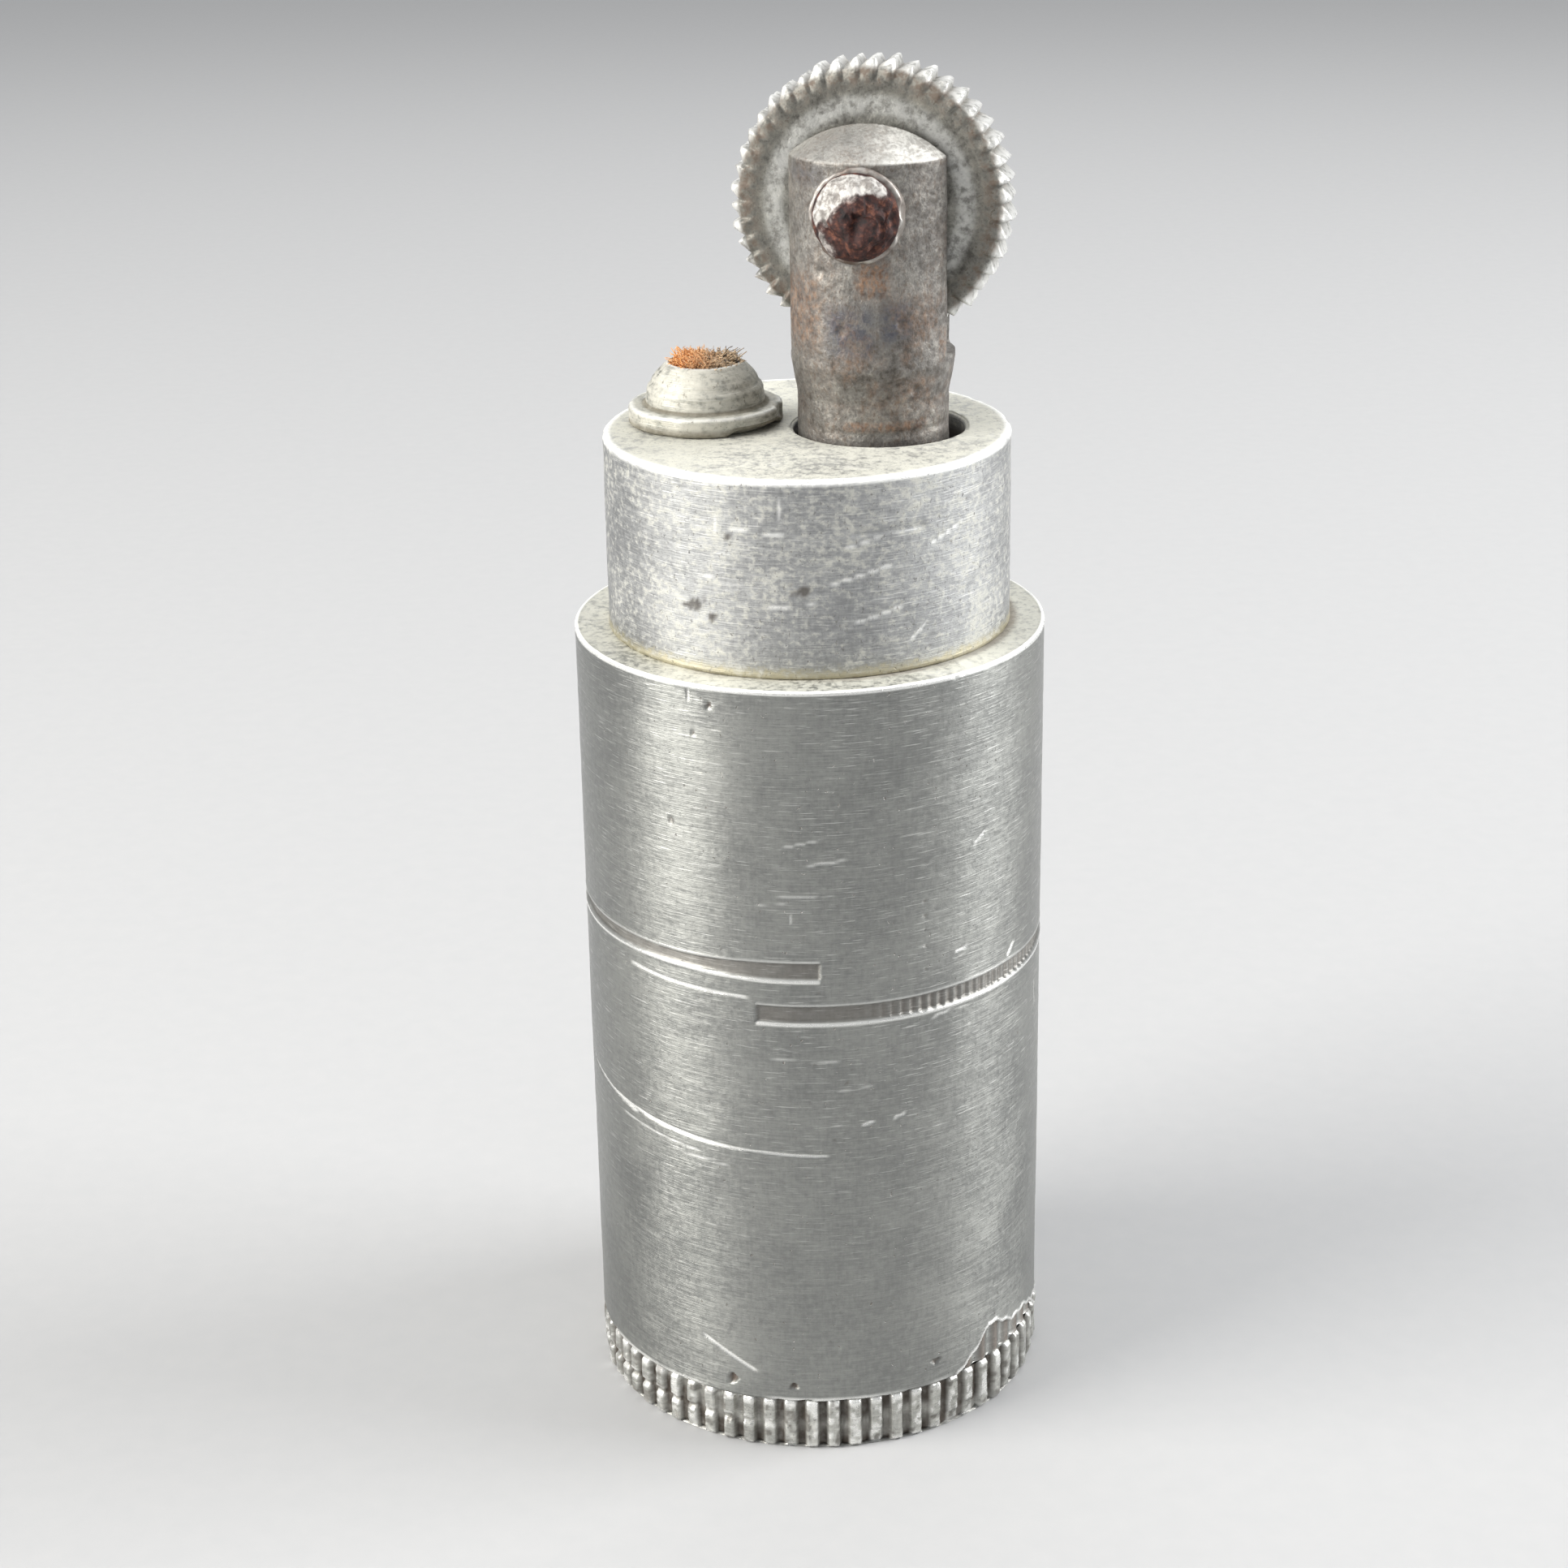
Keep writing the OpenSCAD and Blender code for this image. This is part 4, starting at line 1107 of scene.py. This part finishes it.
def spark_wheel():
    half, radius, bevel, depth, centre = 1.2, 5.56, 0.5, 0.42, -0.35
    r, z, around = turned(wheel_outline(half, radius, bevel), TOOTH_COUNT * 14)
    flat = spots(r, z, around)
    teeth = saw_teeth(around - 90, np.random.default_rng(71))
    chips = 0.035 * lumps(72, flat, 0.35, 2) - 0.02
    limit = radius - depth + depth * teeth
    toothed = step_up(r, radius - bevel - 0.12, radius - bevel + 0.05)
    gash = step_up(r, radius - bevel - 0.5, radius - bevel) * (1 - teeth) * step_up(np.abs(z), 0.5, 0.7)
    r = np.where(toothed > 0, np.minimum(r, limit + chips), r)
    away = step_up(np.abs(z), half - 0.4, half - 0.2)
    side = np.sign(z)
    z -= side * (0.2 * gash + away * (0.02 - 0.02 * lumps(73, flat, 0.9, 3)))
    z -= side * toothed * away * (0.03 - 0.05 * lumps(74, flat, 0.3, 2))
    piece = skin("toothed_wheel", on_axle(flat_on_axle(r, z + centre, around)), loop=True)
    # Worn metal and painted sheen: a pale ring is painted evenly all round the floor of the dish, where it catches
    # the light.
    ring = 0.42 * ridge(r, 3.75, 0.1, 0.45) * away
    wear = np.maximum(ring, step_up(r, radius - depth - 0.12, radius - 0.3) * (0.45 + 0.55 * teeth))
    dirt = step_up(r, radius - 1.5, radius - 0.7) * (1 - wear)
    paint(piece, wear=wear, dirt=dirt)
    dress(piece, "spark_wheel")


def flat_on_axle(r, z, around):
    """Rows of turned() as points in the axle's own frame, so that their order keeps the skin outside."""
    turn = np.radians(around)
    return np.stack([r * np.sin(turn), -r * np.cos(turn), z], axis=-1)


def axle_rivet():
    """The hammered rivet: a ragged front head that leans to the right, and a flatter rear one."""
    face, shaft_r = 3.55, 0.88
    front_r, front_t, rear_r, rear_t = 1.7, 1.28, 1.6, 0.7
    rear = path([(0.1, -face - rear_t), (0.9, -face - rear_t + 0.08), (1.35, -face - 0.42),
                 (rear_r, -face - 0.12), (rear_r - 0.05, -face)], 0.08)
    front = path([(front_r - 0.04, face), (front_r, face + 0.15), (front_r - 0.06, face + 0.45),
                  (1.42, face + 0.75), (1.3, face + 1.05), (0.9, face + front_t - 0.06),
                  (0.1, face + front_t - 0.14)], 0.05)
    shaft = path([(shaft_r, -face + 0.02), (shaft_r, face - 0.02)], 0.5)
    r, z, around = turned(rear + shaft + front, 180)
    flat = flat_on_axle(r, z, around)
    head = step_up(np.abs(z), face + 0.03, face + 0.25)
    tip = step_up(np.abs(z), face + 0.35, face + 0.8)
    ragged = lumps(81, flat, 0.75, 3)
    r *= 1 + head * (0.1 * lumps(83, flat, 0.8, 3) - 0.1) + tip * (0.16 * ragged - 0.08)
    pitted = step_up(lumps(84, flat, 0.55), 0.0, 0.6)
    z -= np.sign(z) * tip * (0.15 * pitted + 0.12 - 0.14 * lumps(82, flat, 0.75, 2))
    points = flat_on_axle(r, z, around)
    lean = step_up(points[..., 2], face + 0.2, face + front_t)
    points[..., 0] += 0.3 * lean
    points[..., 1] -= 0.12 * lean
    piece = skin("rivet_hammered", on_axle(points), loop=False)
    # Real wear and painted highlight: the head's bare steel is partly real wear round its base and partly a
    # painted highlight, stronger on the upper side and on the left, where the light falls.
    painted_top_highlight = step_up(points[..., 1] - 0.35 * points[..., 0], 0.1, 1.3)
    painted_left_highlight = step_up(-points[..., 0], 0.1, 1.2)
    rim = 1 - 0.75 * step_up(points[..., 2], face + 0.4, face + 0.85)
    wear = head * np.clip(rim * (0.2 + 0.8 * painted_top_highlight) + 0.3 * painted_left_highlight + 0.3 * painted_top_highlight - 0.6 * pitted * tip, 0, 1)
    paint(piece, wear=wear)
    dress(piece, "axle_rivet")


def collar(node, side):
    """A dented washer that sits on the round side of the post like a saddle."""
    face, inner, outer = 3.53, 0.93, 1.85
    under = path([(outer - 0.05, 0), (inner, 0)], 0.09)
    lip = 0.15
    front = path([(inner + 0.02, face), (outer - lip - 0.03, face)], 0.09)
    edge = arc(outer - lip, face - lip, lip, 75, 5, 5)
    r, z, around = turned(under + front + edge, 144)
    aside = r * np.sin(np.radians(around))
    seat = np.sqrt(POST_R ** 2 - aside ** 2) + 0.02
    rows = slice(0, len(under))
    z[rows] = seat[rows]
    flat = flat_on_axle(r, z, around)
    z[len(under):] -= (0.05 + 0.05 * lumps(85, flat, 0.6, 3))[len(under):]
    r -= 0.16 * step_up(r, 1.4, 1.8) * step_up(lumps(86, flat, 0.8, 2), -0.3, 0.7)
    z = np.maximum(z, seat)
    points = flat_on_axle(r, z * side, around)
    if side > 0:
        points = points[::-1]
    dress(skin(node + "_dented", on_axle(points), loop=True), node)


# ---------------------------------------------------------------- pieces inside

def flint_spring():
    turns, steps, coil_r, wire_r = 24, 20, 0.95, 0.17
    count = turns * steps
    part = np.linspace(0, 1, count + 1)
    dead = 1.5 / turns
    climb = np.clip((part - dead) / (1 - 2 * dead), 0, 1)
    low, high = spring_low[2] + wire_r, spring_high[2] - wire_r
    ends = 2.04 * wire_r
    height = low + ends * np.clip(part / dead, 0, 1) + (high - low - 2 * ends) * climb \
        + ends * np.clip((part - 1 + dead) / dead, 0, 1)
    turn = part * turns * 2 * math.pi
    across, along = POST_AT[0] + coil_r * np.cos(turn), POST_AT[1] + coil_r * np.sin(turn)
    route = np.stack([across, along, height], axis=-1)
    piece = bundle("coil_spring", [tube(route, np.full(count + 1, wire_r), 9)])
    dress(piece, "flint_spring")
    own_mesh(piece)


def flint_screw():
    head_r = screw_high[0] - POST_AT[0]
    seat = middle("screw_washer")[2] - 0.2
    thread_r = 1.16
    head = path([(0.15, screw_low[2]), (head_r - 0.12, screw_low[2]), (head_r, screw_low[2] + 0.12),
                 (head_r, seat - 0.06), (head_r - 0.06, seat), (thread_r, seat)], 0.12)
    body = path([(thread_r, seat + 0.1), (thread_r, screw_high[2] - 0.25)], SCREW_PITCH / 8)
    tip = path([(thread_r - 0.2, screw_high[2]), (0.15, screw_high[2])], 0.3)
    r, z, around = turned(head + body + tip, 120)
    rows = slice(len(head), len(head) + len(body))
    r[rows] += 0.07 * thread(z[rows], around[rows], SCREW_PITCH)
    piece = skin("slotted_screw", spots(r, z, around, POST_AT), loop=False)
    slot_w, slot_d, slot_l = 0.5, 0.6, 5
    left, right = POST_AT[0] - slot_l / 2, POST_AT[0] + slot_l / 2
    front, back = POST_AT[1] - slot_w / 2, POST_AT[1] + slot_w / 2
    foot, top = screw_low[2] - 1, screw_low[2] + slot_d
    points = [(x, y, h) for x in (left, right)
              for y, h in ((front, foot), (back, foot), (back, top), (front, top))]
    faces = [[k, (k + 1) % 4, (k + 1) % 4 + 4, k + 4] for k in range(4)] + [[3, 2, 1, 0], [4, 5, 6, 7]]
    carve(piece, make_piece("cutter", points, faces))
    dress(piece, "flint_screw")


def soft_block(name, node, seed, dent, octaves, holes):
    """A packed cotton or felt plug: the node's cylinder with a lumpy skin and its holes."""
    low, high = corners(node)
    radius = high[0]
    outline = path([(0.2, low[2]), (radius - 0.35, low[2]), (radius, low[2] + 0.35), (radius, high[2] - 0.35),
                    (radius - 0.35, high[2]), (0.2, high[2])], 0.3)
    r, z, around = turned(outline, 200)
    flat = spots(r, z, around)
    half = (high[2] - low[2]) / 2
    off_middle = z - (low[2] + high[2]) / 2
    ends = np.sign(off_middle) * step_up(np.abs(off_middle), half - 0.3, half)
    r -= dent * (0.5 + 0.5 * lumps(seed, flat, 1.6, octaves)) * step_up(r, 0.5, radius)
    z -= 0.5 * dent * ends * (0.5 + 0.5 * lumps(seed + 1, flat, 0.9, octaves))
    piece = skin(name, spots(r, z, around), loop=False)
    carve(piece, *[rod(size, foot, high[2] + 1, centre) for centre, size, foot in holes])
    dress(piece, node)


def edge_node(node, width):
    """A plain turned or hexagonal piece keeps its own shape and gets eased edges."""
    piece = frame["nodes"][node]
    piece.data.materials.clear()
    piece.data.materials.append(MATERIALS[SLOTS[node]])
    ease = piece.modifiers.new("eased edges", "BEVEL")
    ease.width = width * MM
    ease.segments = 2
    ease.limit_method = "ANGLE"
    ease.angle_limit = math.radians(40)


# ---------------------------------------------------------------- floor, light and camera

def floor():
    size = 20000
    points = np.array([(-size, -size, 0), (size, -size, 0), (size, size, 0), (-size, size, 0)], float)
    piece = make_piece("floor", points, [[0, 1, 2, 3]])
    piece.data.materials.append(pale_floor())


def softbox(name, place, target, width, height, power, tint=(1, 1, 1)):
    data = bpy.data.lights.new(name, "AREA")
    data.shape = "RECTANGLE"
    data.size, data.size_y = width * MM, height * MM
    data.energy = power
    data.color = tint
    lamp = bpy.data.objects.new(name, data)
    way = Vector(target) - Vector(place)
    aim = way.to_track_quat("-Z", "Y").to_matrix().to_4x4()
    lamp.matrix_world = Matrix.Translation(Vector(place) * MM) @ aim
    lamp.visible_camera = False
    bpy.context.scene.collection.objects.link(lamp)


def overhead():
    """Even light from a wide ceiling, so that the floor stays pale as far as the horizon."""
    data = bpy.data.lights.new("overhead", "SUN")
    data.energy = 0.9
    data.angle = math.radians(70)
    lamp = bpy.data.objects.new("overhead", data)
    lamp.rotation_euler = (math.radians(12), math.radians(-10), 0)
    bpy.context.scene.collection.objects.link(lamp)


def lights():
    softbox("left_box", (-330, -118, 206), (0, -4, 34), 242, 374, 2.4, (1.0, 0.975, 0.93))
    softbox("right_box", (352, 18, 210), (0, 0, 30), 231, 374, 2.0)
    softbox("back_box", (30, 320, 260), (0, 0, 30), 380, 200, 0.3)
    overhead()
    world = bpy.data.worlds.new("studio")
    world.use_nodes = True
    background = world.node_tree.nodes["Background"]
    background.inputs["Color"].default_value = (0.82, 0.84, 0.87, 1)
    background.inputs["Strength"].default_value = 0.45
    bpy.context.scene.world = world
    bpy.context.scene.view_settings.view_transform = "Standard"


def camera():
    data = bpy.data.cameras.new("camera")
    data.lens = 68.96
    data.sensor_width = 36
    data.clip_start = 0.001
    data.clip_end = 10
    body = bpy.data.objects.new("camera", data)
    bpy.context.scene.collection.objects.link(body)
    place, look_down, roll = (-1.15, -115.8, 71.3), 21.36, -1.03
    tilt = Matrix.Rotation(math.radians(90 - look_down), 4, "X") @ Matrix.Rotation(math.radians(roll), 4, "Z")
    body.matrix_world = Matrix.Translation(Vector(place) * MM) @ tilt
    bpy.context.scene.camera = body


camera()
floor()
lights()
outer_sleeve()
head_block()
filler_cap()
wick_ferrule()
wick()
flint_post()
spark_wheel()
axle_rivet()
collar("front_washer", 1)
collar("rear_washer", -1)
flint_spring()
flint_screw()
soft_block("wadding_packed", "fuel_wadding", 91, 0.3, 3,
           [(POST_AT, 1.95, wick_low[2] - 5), (FERRULE_AT, 1.35, wick_low[2] - 0.05)])
soft_block("felt_cut", "felt_pad", 95, 0.08, 2, [(POST_AT, 1.95, 1.0)])
for node, width in (("cap_gasket", 0.08), ("post_seal", 0.06), ("post_nut", 0.15),
                    ("front_spacer", 0.03), ("rear_spacer", 0.03), ("flint_tube", 0.08),
                    ("flint", 0.08), ("flint_plunger", 0.08), ("screw_washer", 0.05)):
    edge_node(node, width)

bpy.context.view_layer.update()
